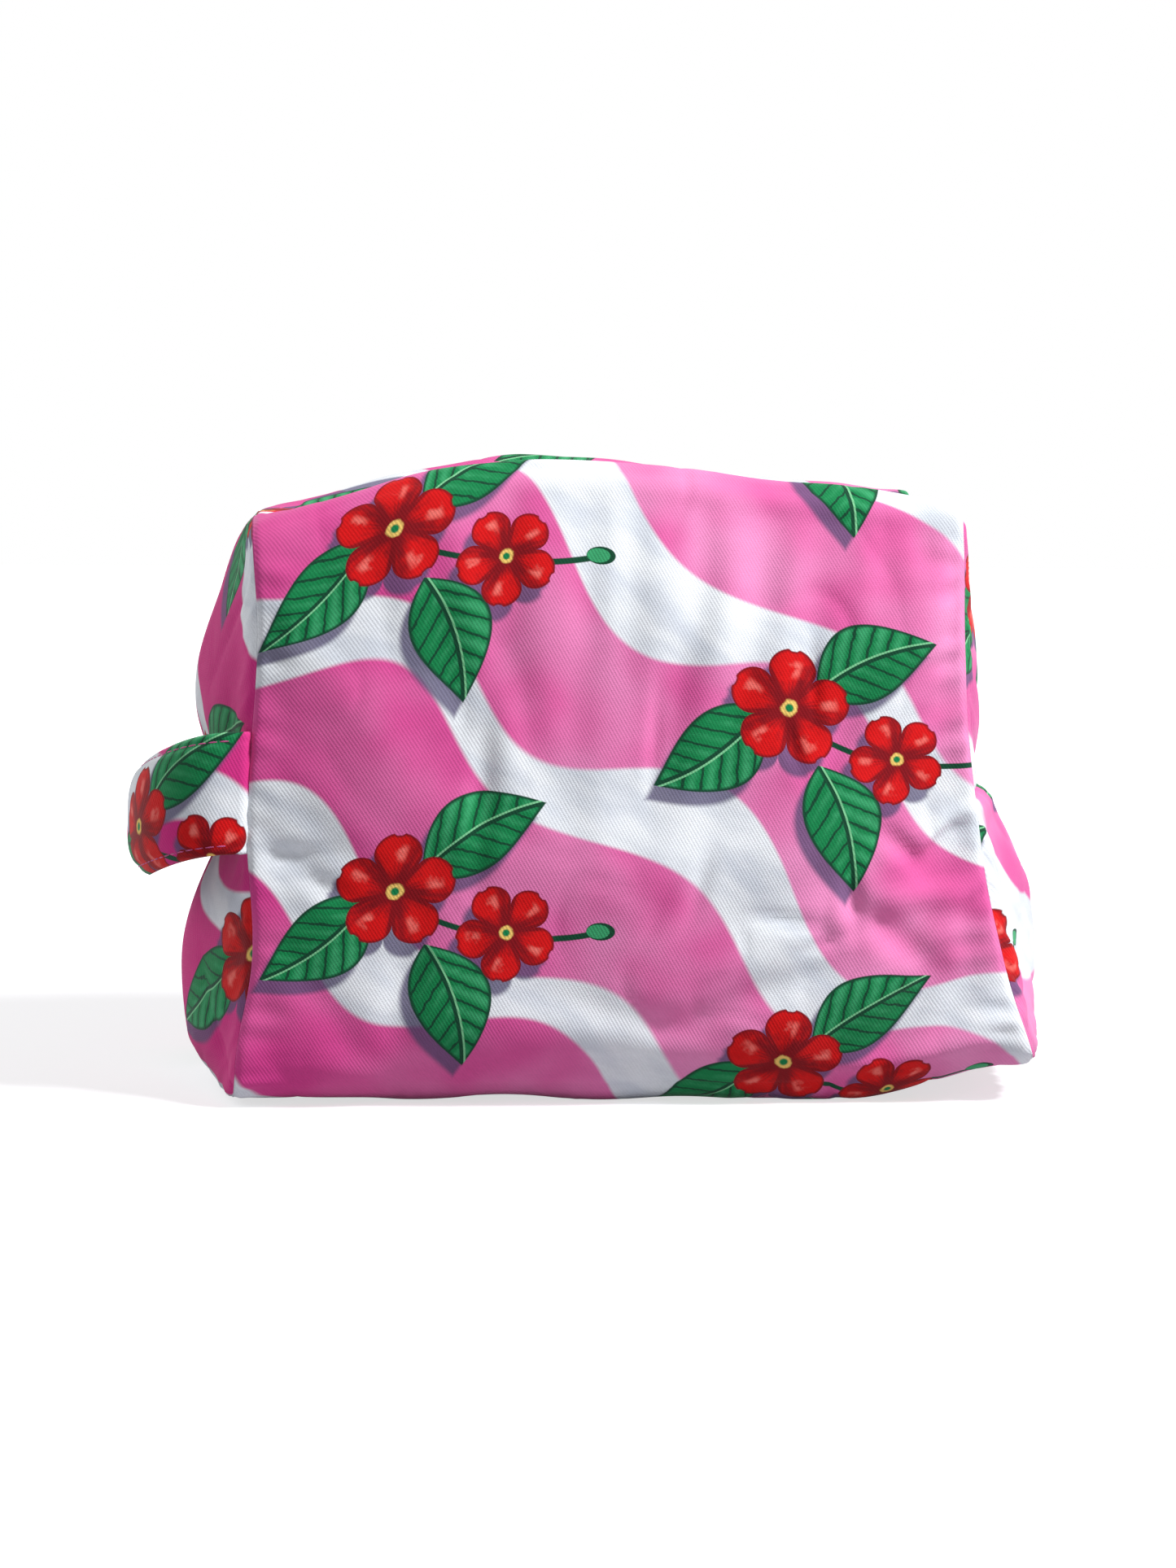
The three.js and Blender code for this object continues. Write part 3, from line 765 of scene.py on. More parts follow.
    def _weave(self, bench: ShaderBench, along: Shade, up: Shade, cloth: Shade, colour: Shade) -> None:
        """Gives the print the twill's slanting ribs, thread by thread.

        Args:
            bench: the material's bench.
            along: place along the cloth.
            up: place up the cloth.
            cloth: a thousand times the cloth's number.
            colour: the print.
        """
        rib = (along * self.twill_run + up * self.twill_rise).wave(self.twill_pitch)
        weft = (along * self.weft_run + up * self.weft_rise).wave(self.weft_pitch)
        fuzz = bench.noise((along, up, cloth), self.fuzz_pitch)
        slub = bench.noise((along * 0.12, up, cloth), self.slub_pitch)
        worn = bench.noise((along, up, cloth), self.wear_pitch, 4.0)
        light = rib * self.twill_light + weft * self.weft_light + fuzz * self.fuzz_light
        light = light + slub * self.slub_light + worn * self.wear_light + self.least_light
        bench.colour(bench.toned(colour, light))
        bench.bump(rib * 0.5 + weft * 0.2 + fuzz * 0.35, self.relief)
        bench.roughness(fuzz, *self.rough)
        bench.set(Specular_IOR_Level=0.22, Sheen_Weight=0.12, Sheen_Roughness=0.45)


@dataclass(frozen=True)
class PlainLining(Finish):
    """Smooth plain lining cloth."""

    name: ClassVar[str] = "plain_lining"
    slot: ClassVar[str] = "lining"

    pale: Colour = (244, 232, 238)
    shade: Colour = (230, 212, 222)
    thread_pitch: float = 0.45
    crease_pitch: float = 24.0
    relief: float = 0.00005
    rough: Pair = (0.55, 0.75)

    def paint(self, bench: ShaderBench) -> None:
        """Sets the shader of a new material.

        Args:
            bench: the material's bench.
        """
        along, up, cloth = bench.place()
        crease = bench.noise((along, up * 0.5, cloth), self.crease_pitch)
        bench.colour(crease.rise(0.35, 0.7).between(self.pale, self.shade))
        grid = along.swing(self.thread_pitch) * up.swing(self.thread_pitch)
        bench.bump(grid * 0.5 + 0.5 + crease * 2.0, self.relief)
        bench.roughness(crease, *self.rough)
        bench.set(Specular_IOR_Level=0.3, Sheen_Weight=0.1)


@dataclass(frozen=True)
class WovenTape(Finish):
    """The zipper's white woven tape, ribbed along its length."""

    name: ClassVar[str] = "woven_tape"
    slot: ClassVar[str] = "tape"

    white: Colour = (238, 238, 236)
    shade: Colour = (206, 208, 210)
    rib_pitch: float = 0.8
    fuzz_pitch: float = 0.5
    herring: float = 2.2  # how much its ribs slant
    relief: float = 0.00008
    rough: Pair = (0.72, 0.87)

    def paint(self, bench: ShaderBench) -> None:
        """Sets the shader of a new material.

        Args:
            bench: the material's bench.
        """
        along, across, cloth = bench.place()
        rib = ((across * 0.25).wrapped(1.0).size() * self.herring + along).wave(self.rib_pitch)
        fuzz = bench.noise((along, across, cloth), self.fuzz_pitch)
        bench.colour((rib * 0.35 + fuzz * 0.3).between(self.white, self.shade))
        bench.bump(rib + fuzz * 0.4, self.relief)
        bench.roughness(fuzz, *self.rough)
        bench.set(Specular_IOR_Level=0.25, Sheen_Weight=0.1)


@dataclass(frozen=True)
class MouldedTeeth(Finish):
    """Moulded white plastic."""

    name: ClassVar[str] = "moulded_teeth"
    slot: ClassVar[str] = "teeth"

    white: Colour = (240, 240, 238)
    cream: Colour = (222, 222, 220)
    flow_pitch: float = 1.6
    relief: float = 0.00002
    rough: Pair = (0.25, 0.4)

    def paint(self, bench: ShaderBench) -> None:
        """Sets the shader of a new material.

        Args:
            bench: the material's bench.
        """
        flow = bench.noise(bench.spot(), self.flow_pitch)
        bench.colour(flow.rise(0.4, 0.7).between(self.white, self.cream))
        bench.roughness(flow, *self.rough)
        bench.bump(flow, self.relief)
        bench.set(Specular_IOR_Level=0.5, Coat_Weight=0.15)


@dataclass(frozen=True)
class PolishedMetal(Finish):
    """Nickel-plated die-cast metal, faintly scratched."""

    name: ClassVar[str] = "polished_metal"
    slot: ClassVar[str] = "metal"

    bright: Colour = (214, 214, 218)
    dull: Colour = (176, 177, 182)
    scratch_pitch: float = 0.8
    relief: float = 0.000012
    rough: Pair = (0.14, 0.36)

    def paint(self, bench: ShaderBench) -> None:
        """Sets the shader of a new material.

        Args:
            bench: the material's bench.
        """
        x, y, z = bench.spot()
        scratch = bench.noise((x * 0.25, y * 3.0, z * 3.0), self.scratch_pitch, 4.0)
        bench.colour(scratch.rise(0.4, 0.75).between(self.bright, self.dull))
        bench.roughness(scratch, *self.rough)
        bench.bump(scratch, self.relief)
        bench.set(Metallic=1.0)


@dataclass(frozen=True)
class SewingThread(Finish):
    """Twisted pink sewing thread."""

    name: ClassVar[str] = "sewing_thread"
    slot: ClassVar[str] = "printed_cloth"

    pink: Colour = (226, 104, 166)
    shade: Colour = (178, 60, 122)
    twist_pitch: float = 0.55
    relief: float = 0.00004

    def paint(self, bench: ShaderBench) -> None:
        """Sets the shader of a new material.

        Args:
            bench: the material's bench.
        """
        x, y, z = bench.spot()
        twist = (x + y + z * 1.4).wave(self.twist_pitch)
        bench.colour(twist.between(self.pink, self.shade))
        bench.bump(twist, self.relief)
        bench.set(Roughness=0.6, Specular_IOR_Level=0.35, Sheen_Weight=0.15)


# The pouch's form


@dataclass(frozen=True)
class PouchForm:
    """The outer form of the standing pouch, in the sizes of its CAD part.

    Only the strap end differs: it puffs out further, and is drawn in along its seams. A point is
    given by shares from -1 to 1 along (u), across (v) and up (w) the box.
    """

    base_length: float = 201 * MM
    top_length: float = 176 * MM
    top_shift: float = -7.5 * MM
    left_flare: float = 2.0
    right_flare: float = 2.6
    base_depth: float = 108 * MM
    top_depth: float = 96 * MM
    left_height: float = 144 * MM
    right_height: float = 151 * MM
    peak_height: float = 164 * MM
    peak_at: float = -0.2
    crown_bend: float = 1.6
    zip_height: float = 145 * MM
    left_corner_lift: float = 1.5 * MM
    right_corner_lift: float = 10 * MM
    lift_start: float = 0.45
    lift_bend: float = 1.5
    base_press: float = 1 * MM
    middle_fold: float = 8.0
    end_fold: float = 14.0
    long_puff: float = 9 * MM
    left_upper_puff: float = 14.5 * MM
    left_lower_puff: float = 15.5 * MM
    right_upper_puff: float = 8.5 * MM
    right_lower_puff: float = 18 * MM
    puff_peak: float = 0.4
    left_lower_peak: float = 0.6
    end_roundness: float = 1.2
    lower_pull: float = 2.8 * MM  # how far the left seams are drawn in under the strap
    lower_pull_at: float = -0.46
    lower_pull_reach: float = 0.26
    upper_pull: float = 1.8 * MM  # and above it
    upper_pull_at: float = 0.6
    upper_pull_reach: float = 0.3
    hinge_share: float = 0.55
    sag_power: int = 8  # the more, the nearer the sag of the top stays to it
    seam_power: int = 8  # the more, the narrower the turn of the outward direction

    @property
    def half_top(self) -> float:
        """Half the depth at the top."""
        return self.top_depth / 2

    def crown_height(self, u: Array) -> Array:
        """Height of the top fold at each share of the length."""
        left = u < self.peak_at
        corner = np.where(left, self.left_height, self.right_height)
        away = (u - self.peak_at) / (np.where(left, -1.0, 1.0) - self.peak_at)
        return mix(self.peak_height, corner, np.clip(away, 0, 1) ** self.crown_bend)

    def half_length(self, end: int, lift: Array) -> Array:
        """Length from the middle to an end at each share of the height, as a positive number."""
        top = self.top_length / 2 + end * self.top_shift
        flare = self.left_flare if end < 0 else self.right_flare
        return top + (self.base_length / 2 - top) * (1 - lift) ** flare

    def half_depth(self, lift: Array) -> Array:
        """Half the depth at each share of the height."""
        return mix(self.base_depth, self.top_depth, lift) / 2

    def end_puff(self, u: Array, v: Array, w: Array) -> Array:
        """How far the ends stand out beyond their seams.

        Args:
            u: share along.
            v: share across.
            w: share up.

        Returns:
            A distance for each point.
        """
        left = u < 0
        upper = np.where(left, self.left_upper_puff, self.right_upper_puff)
        lower = np.where(left, self.left_lower_puff, self.right_lower_puff)
        peak = np.where(left & (w < 0), self.left_lower_peak, self.puff_peak)
        bent = np.minimum(1.0, np.abs(w)) ** (math.log(0.5) / np.log(peak))
        wave = np.maximum(0.0, np.sin(math.pi * bent))
        puff = np.where(w > 0, upper * wave, lower * np.sqrt(wave))
        return pillow(v, self.end_roundness) * puff - self.seam_pull(u, v, w)

    def seam_pull(self, u: Array, v: Array, w: Array) -> Array:
        """How far the left upright seams are drawn in, below and above the strap sewn into them."""
        below = self.lower_pull * hump((w - self.lower_pull_at) / self.lower_pull_reach)
        above = self.upper_pull * hump((w - self.upper_pull_at) / self.upper_pull_reach)
        return np.where(u < 0, (below + above) * np.abs(v) ** 3, 0.0)

    def corner_rise(self, u: Array) -> Array:
        """How far the base fold lifts off the ground towards its corners."""
        lift = np.where(u < 0, self.left_corner_lift, self.right_corner_lift)
        return lift * smooth((np.abs(u) - self.lift_start) / (1 - self.lift_start)) ** self.lift_bend

    def point(self, u: Array, v: Array, w: Array, skin: float = 0.0) -> Array:
        """Places points on the form.

        Args:
            u: share along.
            v: share across.
            w: share up.
            skin: how deep under the outer face the points lie.

        Returns:
            One point for each set of shares, with X, Y and Z last.
        """
        bend = mix(self.middle_fold, self.end_fold, np.abs(u) ** 4)
        wide, tall = np.maximum(np.abs(v), 1e-9), np.maximum(np.abs(w), 1e-9)
        turned = np.maximum(wide, tall) / (wide ** bend + tall ** bend) ** (1 / bend)
        across, up = v * turned, w * turned
        lift = (1 + up) / 2
        height = self.crown_height(u)
        rise = np.clip((np.abs(v) - self.hinge_share) / (1 - self.hinge_share), 0, 1)
        dip = 1 - np.sin(math.pi / 2 * rise)
        sag = (self.zip_height - height) * dip * np.maximum(0.0, w) ** self.sag_power
        level = height / 2 + up * (height / 2 - skin) + sag
        z = np.maximum(level - self.base_press * (1 - lift), skin)
        z = z + self.corner_rise(u) * (1 - lift) ** 2
        puff = self.long_puff * pillow(u) * pillow(w)
        y = across * (self.half_depth(lift) - skin) + v * puff
        left = -(self.half_length(-1, lift) - skin)
        right = self.half_length(1, lift) - skin
        x = mix(left, right, (1 + u) / 2) + u * self.end_puff(u, v, w)
        return np.stack((x, y, z), axis=-1)

    def outward(self, u: Array, v: Array, w: Array) -> Array:
        """Roughly the outward direction at each point, the same on both cloths of a seam."""
        return unit(np.stack([np.sign(t) * np.abs(t) ** self.seam_power for t in (u, v, w)], axis=-1))


@dataclass(frozen=True)
class Crease:
    """A soft valley in a long wall with a low ridge on both sides. Its lengths are millimetres."""

    x: float
    z: float
    angle: float  # degrees from the length of the pouch
    length: float
    width: float
    depth: float  # negative for a ridge
    ridge: float = 0.9  # the more, the higher the ridges beside it

    def height(self, x: Array, z: Array) -> Array:
        """How far the crease moves the cloth out.

        Args:
            x: place along the pouch, in metres.
            z: height, in metres.

        Returns:
            A distance for each point, negative in a valley.
        """
        turn = math.radians(self.angle)
        along, up = x * PER_METRE - self.x, z * PER_METRE - self.z
        run = (along * math.cos(turn) + up * math.sin(turn)) / self.length
        off = (up * math.cos(turn) - along * math.sin(turn)) / self.width
        return -self.depth * MM * (1 - self.ridge * off * off) * hump(off) * hump(run)


@dataclass(frozen=True)
class Needlework:
    """How the sewing draws the cloth in: a groove along each seam, puckers beside it, and slack."""

    groove: float = 0.8 * MM
    groove_reach: float = 1.5 * MM
    groove_pitch: float = 37 * MM
    unevenness: float = 0.4  # of its depth
    pucker: float = 0.9 * MM
    pucker_reach: float = 4.0 * MM
    pucker_pitch: float = 9.5 * MM
    pucker_lean: float = 0.25
    slack: float = 1.0 * MM
    slack_pitch: float = 62 * MM
    calm_reach: float = 14 * MM  # from a seam to where the slack is full
    crumple: float = 0.75 * MM
    crumple_pitch: float = 46 * MM
    crumple_width: float = 1.6  # the more, the narrower the fine creases
    crumple_patch: float = 88 * MM
    deepest: float = 3.4 * MM  # no valley goes deeper, so the padding never shows through
    clearance: float = 0.2 * MM  # of the base over the ground

    def groove_at(self, away: Array, run: Array) -> Array:
        """Depth of the groove at a distance from its seam and a place along it."""
        uneven = 1 + self.unevenness * ripple(run, run * 0.0, self.groove_pitch, 0.7)
        return self.groove * uneven * hump(away / self.groove_reach)

    def pucker_at(self, away: Array, run: Array, seed: float) -> Array:
        """Height of the puckers beside a seam.

        Args:
            away: distance from the seam.
            run: distance along the seam.
            seed: shifts the puckers.

        Returns:
            A height that is nothing on the seam and dies away from it.
        """
        share = away / self.pucker_reach
        wave = ripple(run, away * self.pucker_lean, self.pucker_pitch, seed)
        return self.pucker * wave * share * np.exp(1 - share)

    def held_out(self, height: Array) -> Array:
        """Eases the deepest valleys out to where the padding stops them."""
        return np.where(height < 0, -self.deepest * np.tanh(-height / self.deepest), height)

    def slack_at(self, a: Array, b: Array, seed: float, lively: Array | float = 1.0) -> Array:
        """The cloth's broad, low swells, and the fine creases that cross it in patches.

        Args:
            a: place along the cloth.
            b: place up the cloth.
            seed: shifts the swells.
            lively: how strongly the fine creases show.

        Returns:
            A height for each place.
        """
        line = np.abs(ripple(a, b, self.crumple_pitch, seed + 5.1)) * self.crumple_width
        valley = np.maximum(0.0, 1 - line) ** 3
        patch = smooth(0.35 + 0.9 * ripple(b, a, self.crumple_patch, seed + 2.6))
        swell = self.slack * ripple(a, b, self.slack_pitch, seed)
        return swell - self.crumple * valley * patch * lively


# Making meshes


def as_piece(name: str, mesh: Mesh) -> Piece:
    """Puts a mesh in the scene as a smooth piece.

    Args:
        name: the piece's name.
        mesh: its mesh, in the frame's metres.

    Returns:
        The new object.
    """
    mesh.validate()
    mesh.shade_smooth()
    piece = bpy.data.objects.new(name, mesh)
    bpy.context.scene.collection.objects.link(piece)
    return piece


def face_outward(mesh: Mesh) -> None:
    """Turns every face of a closed mesh to face out."""
    work = bmesh.new()
    work.from_mesh(mesh)
    bmesh.ops.recalc_face_normals(work, faces=work.faces)
    work.to_mesh(mesh)
    work.free()


def mesh_points(mesh: Mesh) -> Array:
    """The points of a mesh, one to a row."""
    points = np.zeros(len(mesh.vertices) * 3, np.float32)
    mesh.vertices.foreach_get("co", points)
    return points.reshape(-1, 3)


def grid_faces(rows: int, columns: int, start: int, flipped: bool) -> Array:
    """The quads of a grid of points.

    Args:
        rows: how many rows of points.
        columns: how many points in a row.
        start: number of the grid's first point.
        flipped: whether the quads face the other way.

    Returns:
        Four point numbers for each quad.
    """
    first = (np.arange(rows - 1)[:, None] * columns + np.arange(columns - 1)[None, :]).ravel() + start
    quads = np.stack((first, first + 1, first + columns + 1, first + columns), axis=1)
    return quads[:, ::-1] if flipped else quads


def rim_faces(rows: int, columns: int) -> Array:
    """The quads that join the border of one grid to that of an equal grid after it.

    Args:
        rows: how many rows of points.
        columns: how many points in a row.

    Returns:
        Four point numbers for each quad.
    """
    ids = np.arange(rows * columns).reshape(rows, columns)
    ring = np.concatenate((ids[0, :-1], ids[:-1, -1], ids[-1, :0:-1], ids[:0:-1, 0]))
    following = np.roll(ring, -1)
    return np.stack((following, ring, ring + ids.size, following + ids.size), axis=1)


def tube_faces(rings: int, around: int, tubes: int = 1) -> list[list[int]]:
    """The sides and the end caps of closed tubes made of rings of points.

    Args:
        rings: how many rings a tube has.
        around: how many points a ring has.
        tubes: how many such tubes follow one another.

    Returns:
        The point numbers of each face.
    """
    ring = np.arange(around)
    starts = np.arange(rings - 1)[:, None] * around
    first = (starts + ring).ravel()
    after = (starts + np.roll(ring, -1)).ravel()
    sides = np.stack((first, after, after + around, first + around), axis=1)
    caps = np.stack((-ring % around, ring + (rings - 1) * around))
    faces = []
    for tube in range(tubes):
        start = tube * rings * around
        faces += (sides + start).tolist() + (caps + start).tolist()
    return faces


def closed_mesh(name: str, points: Array, faces: list[list[int]]) -> Mesh:
    """Makes a closed mesh whose faces all face out.

    Args:
        name: the mesh's name.
        points: its points, in any number of rows.
        faces: the point numbers of each face.

    Returns:
        The new mesh.
    """
    mesh = bpy.data.meshes.new(name)
    mesh.from_pydata(points.reshape(-1, 3).tolist(), [], faces)
    face_outward(mesh)
    return mesh


def sheet_piece(name: str, outer: Array, inner: Array, place: Array) -> Piece:
    """Makes a closed sheet of cloth from its outer and its inner face.

    Args:
        name: the piece's name.
        outer: rows and columns of points on the outer face.
        inner: the same on the inner face.
        place: where each point lay on the flat cloth.

    Returns:
        The new object.
    """
    rows, columns = outer.shape[:2]
    over = grid_faces(rows, columns, 0, False)
    under = grid_faces(rows, columns, rows * columns, True)
    faces = np.concatenate((over, under, rim_faces(rows, columns)))
    mesh = closed_mesh(name, np.stack((outer, inner)), faces.tolist())
    mark_place(mesh, np.stack((place, place)))
    return as_piece(name, mesh)


def cloth_place(along: Array, up: Array, number: float) -> Array:
    """The place on the flat cloth of each point.

    Args:
        along: place along the cloth.
        up: place up the cloth.
        number: the cloth's number, which sets it apart from the others.

    Returns:
        The three values for each point.
    """
    return np.stack(np.broadcast_arrays(along, up, number), axis=-1)


def mark_place(mesh: Mesh, place: Array) -> None:
    """Keeps where each point lay on the flat cloth, for the print and the weave."""
    layer = mesh.attributes.new(CLOTH_PLACE, "FLOAT_VECTOR", "POINT")
    layer.data.foreach_set("vector", place.astype(np.float32).ravel())


def tube_piece(name: str, rings: Array, place: Array) -> Piece:
    """Makes a closed tube of cloth from rings of points, with both ends capped.

    Args:
        name: the piece's name.
        rings: rings of points, one after the other.
        place: where each point lay on the flat cloth.

    Returns:
        The new object.
    """
    mesh = closed_mesh(name, rings, tube_faces(*rings.shape[:2]))
    mark_place(mesh, place)
    return as_piece(name, mesh)


def run_lengths(line: Array) -> Array:
    """Distance along a line of points, from its first."""
    steps = np.linalg.norm(np.diff(line, axis=0), axis=1)
    return np.concatenate(([0.0], np.cumsum(steps)))


# The opening


@dataclass(frozen=True)
class Mouth:
    """How the cloth beside the zipper folds back: most in the middle, and not at the ends."""

    middle: float = -7.5 * MM
    half: float = 58 * MM
    fullness: float = 0.7
    fold_out: float = 29.8 * MM  # off the zipper, where the cloth stays put
    fold_in: float = 21.6 * MM  # off the zipper, where it turns all the way
    level: float = 145 * MM

    def share(self, x: Array, y: Array) -> Array:
        """How much of the turn each point of the top takes."""
        along = np.maximum(0.0, 1 - ((x - self.middle) / self.half) ** 2) ** self.fullness
        across = smooth((self.fold_out - np.abs(y)) / (self.fold_out - self.fold_in))
        return along * across

    def bend(self, piece: Piece, side: Side, w: Array | None = None) -> None:
        """Bakes a piece's place into its mesh and works out how much of the opening's turn each point
        would take, but keeps none of it.

        Args:
            piece: the piece, with its mesh final.
            side: not used.
            w: for a sheet, the share up of its points; only those on top get a share.
        """
        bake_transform(piece)
        x, y, _ = mesh_points(piece.data).T
        shares = self.share(x, y)
        if w is not None:
            shares = shares * np.tile(np.ravel(w) >= 1, 2)


# Cloths


@dataclass(frozen=True)
class Settling:
    """A short cloth simulation: a cloth cut a little too large settles between its seams.

    Only the wrinkles are kept. The broad form stays as sewn.
    """

    scale: float = 10.0  # the simulated cloth is this much larger
    frames: int = 26
    slack: float = 0.03  # share by which the cloth is too large
    pressure: float = 1.2
    gravity: float = 0.35
    stiffness: float = 18.0
    bending: float = 0.9
    quality: int = 5
    mass: float = 0.3
    air_damping: float = 2.0
    smoothing: int = 7  # points across which the broad form is measured
    fineness: int = 1  # points across which the finest ripples are evened out
    hem: int = 5  # points from the border to where the wrinkles are at their full height
    limit: float = 2.0 * MM

    def wrinkles(self, form: PouchForm, u: Array, v: Array, w: Array) -> Array:
        """Simulates a cloth held along its border.

        Args:
            form: the form that the cloth is sewn to.
            u: share along.
            v: share across.
            w: share up.
        """
        rows, columns = u.shape
        points = form.point(u, v, w)
        piece = self._pinned_cloth(points)
        scene = bpy.context.scene
        for number in range(1, self.frames + 1):
            scene.frame_set(number)
        settled = piece.evaluated_get(bpy.context.evaluated_depsgraph_get()).data
        moved = mesh_points(settled).reshape(rows, columns, 3) / self.scale
        scene.frame_set(1)
        bpy.data.objects.remove(piece, do_unlink=True)
        height = np.sum((moved - points) * form.outward(u, v, w), axis=-1)
        height = self._evened(height, self.fineness) - self._evened(height, self.smoothing)
        down, across = np.arange(rows)[:, None], np.arange(columns)[None, :]
        border = np.minimum(np.minimum(down, rows - 1 - down), np.minimum(across, columns - 1 - across))
        return np.clip(height, -self.limit, self.limit) * smooth(border / self.hem)

    def _pinned_cloth(self, points: Array) -> Piece:
        """Makes the enlarged cloth, with its border pinned and its simulation set.

        Args:
            points: rows and columns of points of the cloth as sewn.

        Returns:
            The cloth, ready to run.
        """
        rows, columns = points.shape[:2]
        mesh = bpy.data.meshes.new("settling_cloth")
        flat = (points * self.scale).reshape(-1, 3).tolist()
        mesh.from_pydata(flat, [], grid_faces(rows, columns, 0, False).tolist())
        piece = as_piece("settling_cloth", mesh)
        seams = piece.vertex_groups.new(name="seams")
        ids = np.arange(rows * columns).reshape(rows, columns)
        border = np.concatenate((ids[0], ids[-1], ids[1:-1, 0], ids[1:-1, -1]))
        seams.add(border.tolist(), 1.0, "REPLACE")
        cloth = piece.modifiers.new("settling", "CLOTH")
        sums = cloth.settings
        sums.quality = self.quality
        sums.mass = self.mass
        sums.air_damping = self.air_damping
        sums.tension_stiffness = self.stiffness
        sums.compression_stiffness = self.stiffness
        sums.shear_stiffness = self.stiffness / 3
        sums.bending_stiffness = self.bending
        sums.vertex_group_mass = seams.name
        sums.shrink_min = -self.slack
        sums.use_pressure = True
        sums.uniform_pressure_force = self.pressure
        sums.effector_weights.gravity = self.gravity
        cloth.collision_settings.use_collision = False
        cloth.collision_settings.use_self_collision = False
        cloth.point_cache.frame_start = 1
        cloth.point_cache.frame_end = self.frames
        return piece

    def _evened(self, height: Array, reach: int) -> Array:
        """Averages heights over a window, twice.

        Args:
            height: rows and columns of heights.
            reach: how many points the window has to each side.

        Returns:
            The evened heights.
        """
        window = np.ones(2 * reach + 1) / (2 * reach + 1)
        for axis in (0, 1, 0, 1):
            added = [(reach, reach) if axis == n else (0, 0) for n in (0, 1)]
            padded = np.pad(height, added, mode="edge")
            height = np.apply_along_axis(np.convolve, axis, padded, window, "valid")
        return height


def sampled(grid: Array, down: Array, across: Array) -> Array:
    """Reads an even grid between its points.

    Args:
        grid: the grid's values.
        down: share from -1 to 1 from the first row to the last.
        across: share from -1 to 1 from the first column to the last.

    Returns:
        The values there.
    """
    rows, columns = grid.shape
    row = np.clip((down + 1) / 2 * (rows - 1), 0, rows - 1.001)
    column = np.clip((across + 1) / 2 * (columns - 1), 0, columns - 1.001)
    i, j = row.astype(int), column.astype(int)
    s, t = row - i, column - j
    upper = mix(grid[i, j], grid[i, j + 1], t)
    lower = mix(grid[i + 1, j], grid[i + 1, j + 1], t)
    return mix(upper, lower, s)


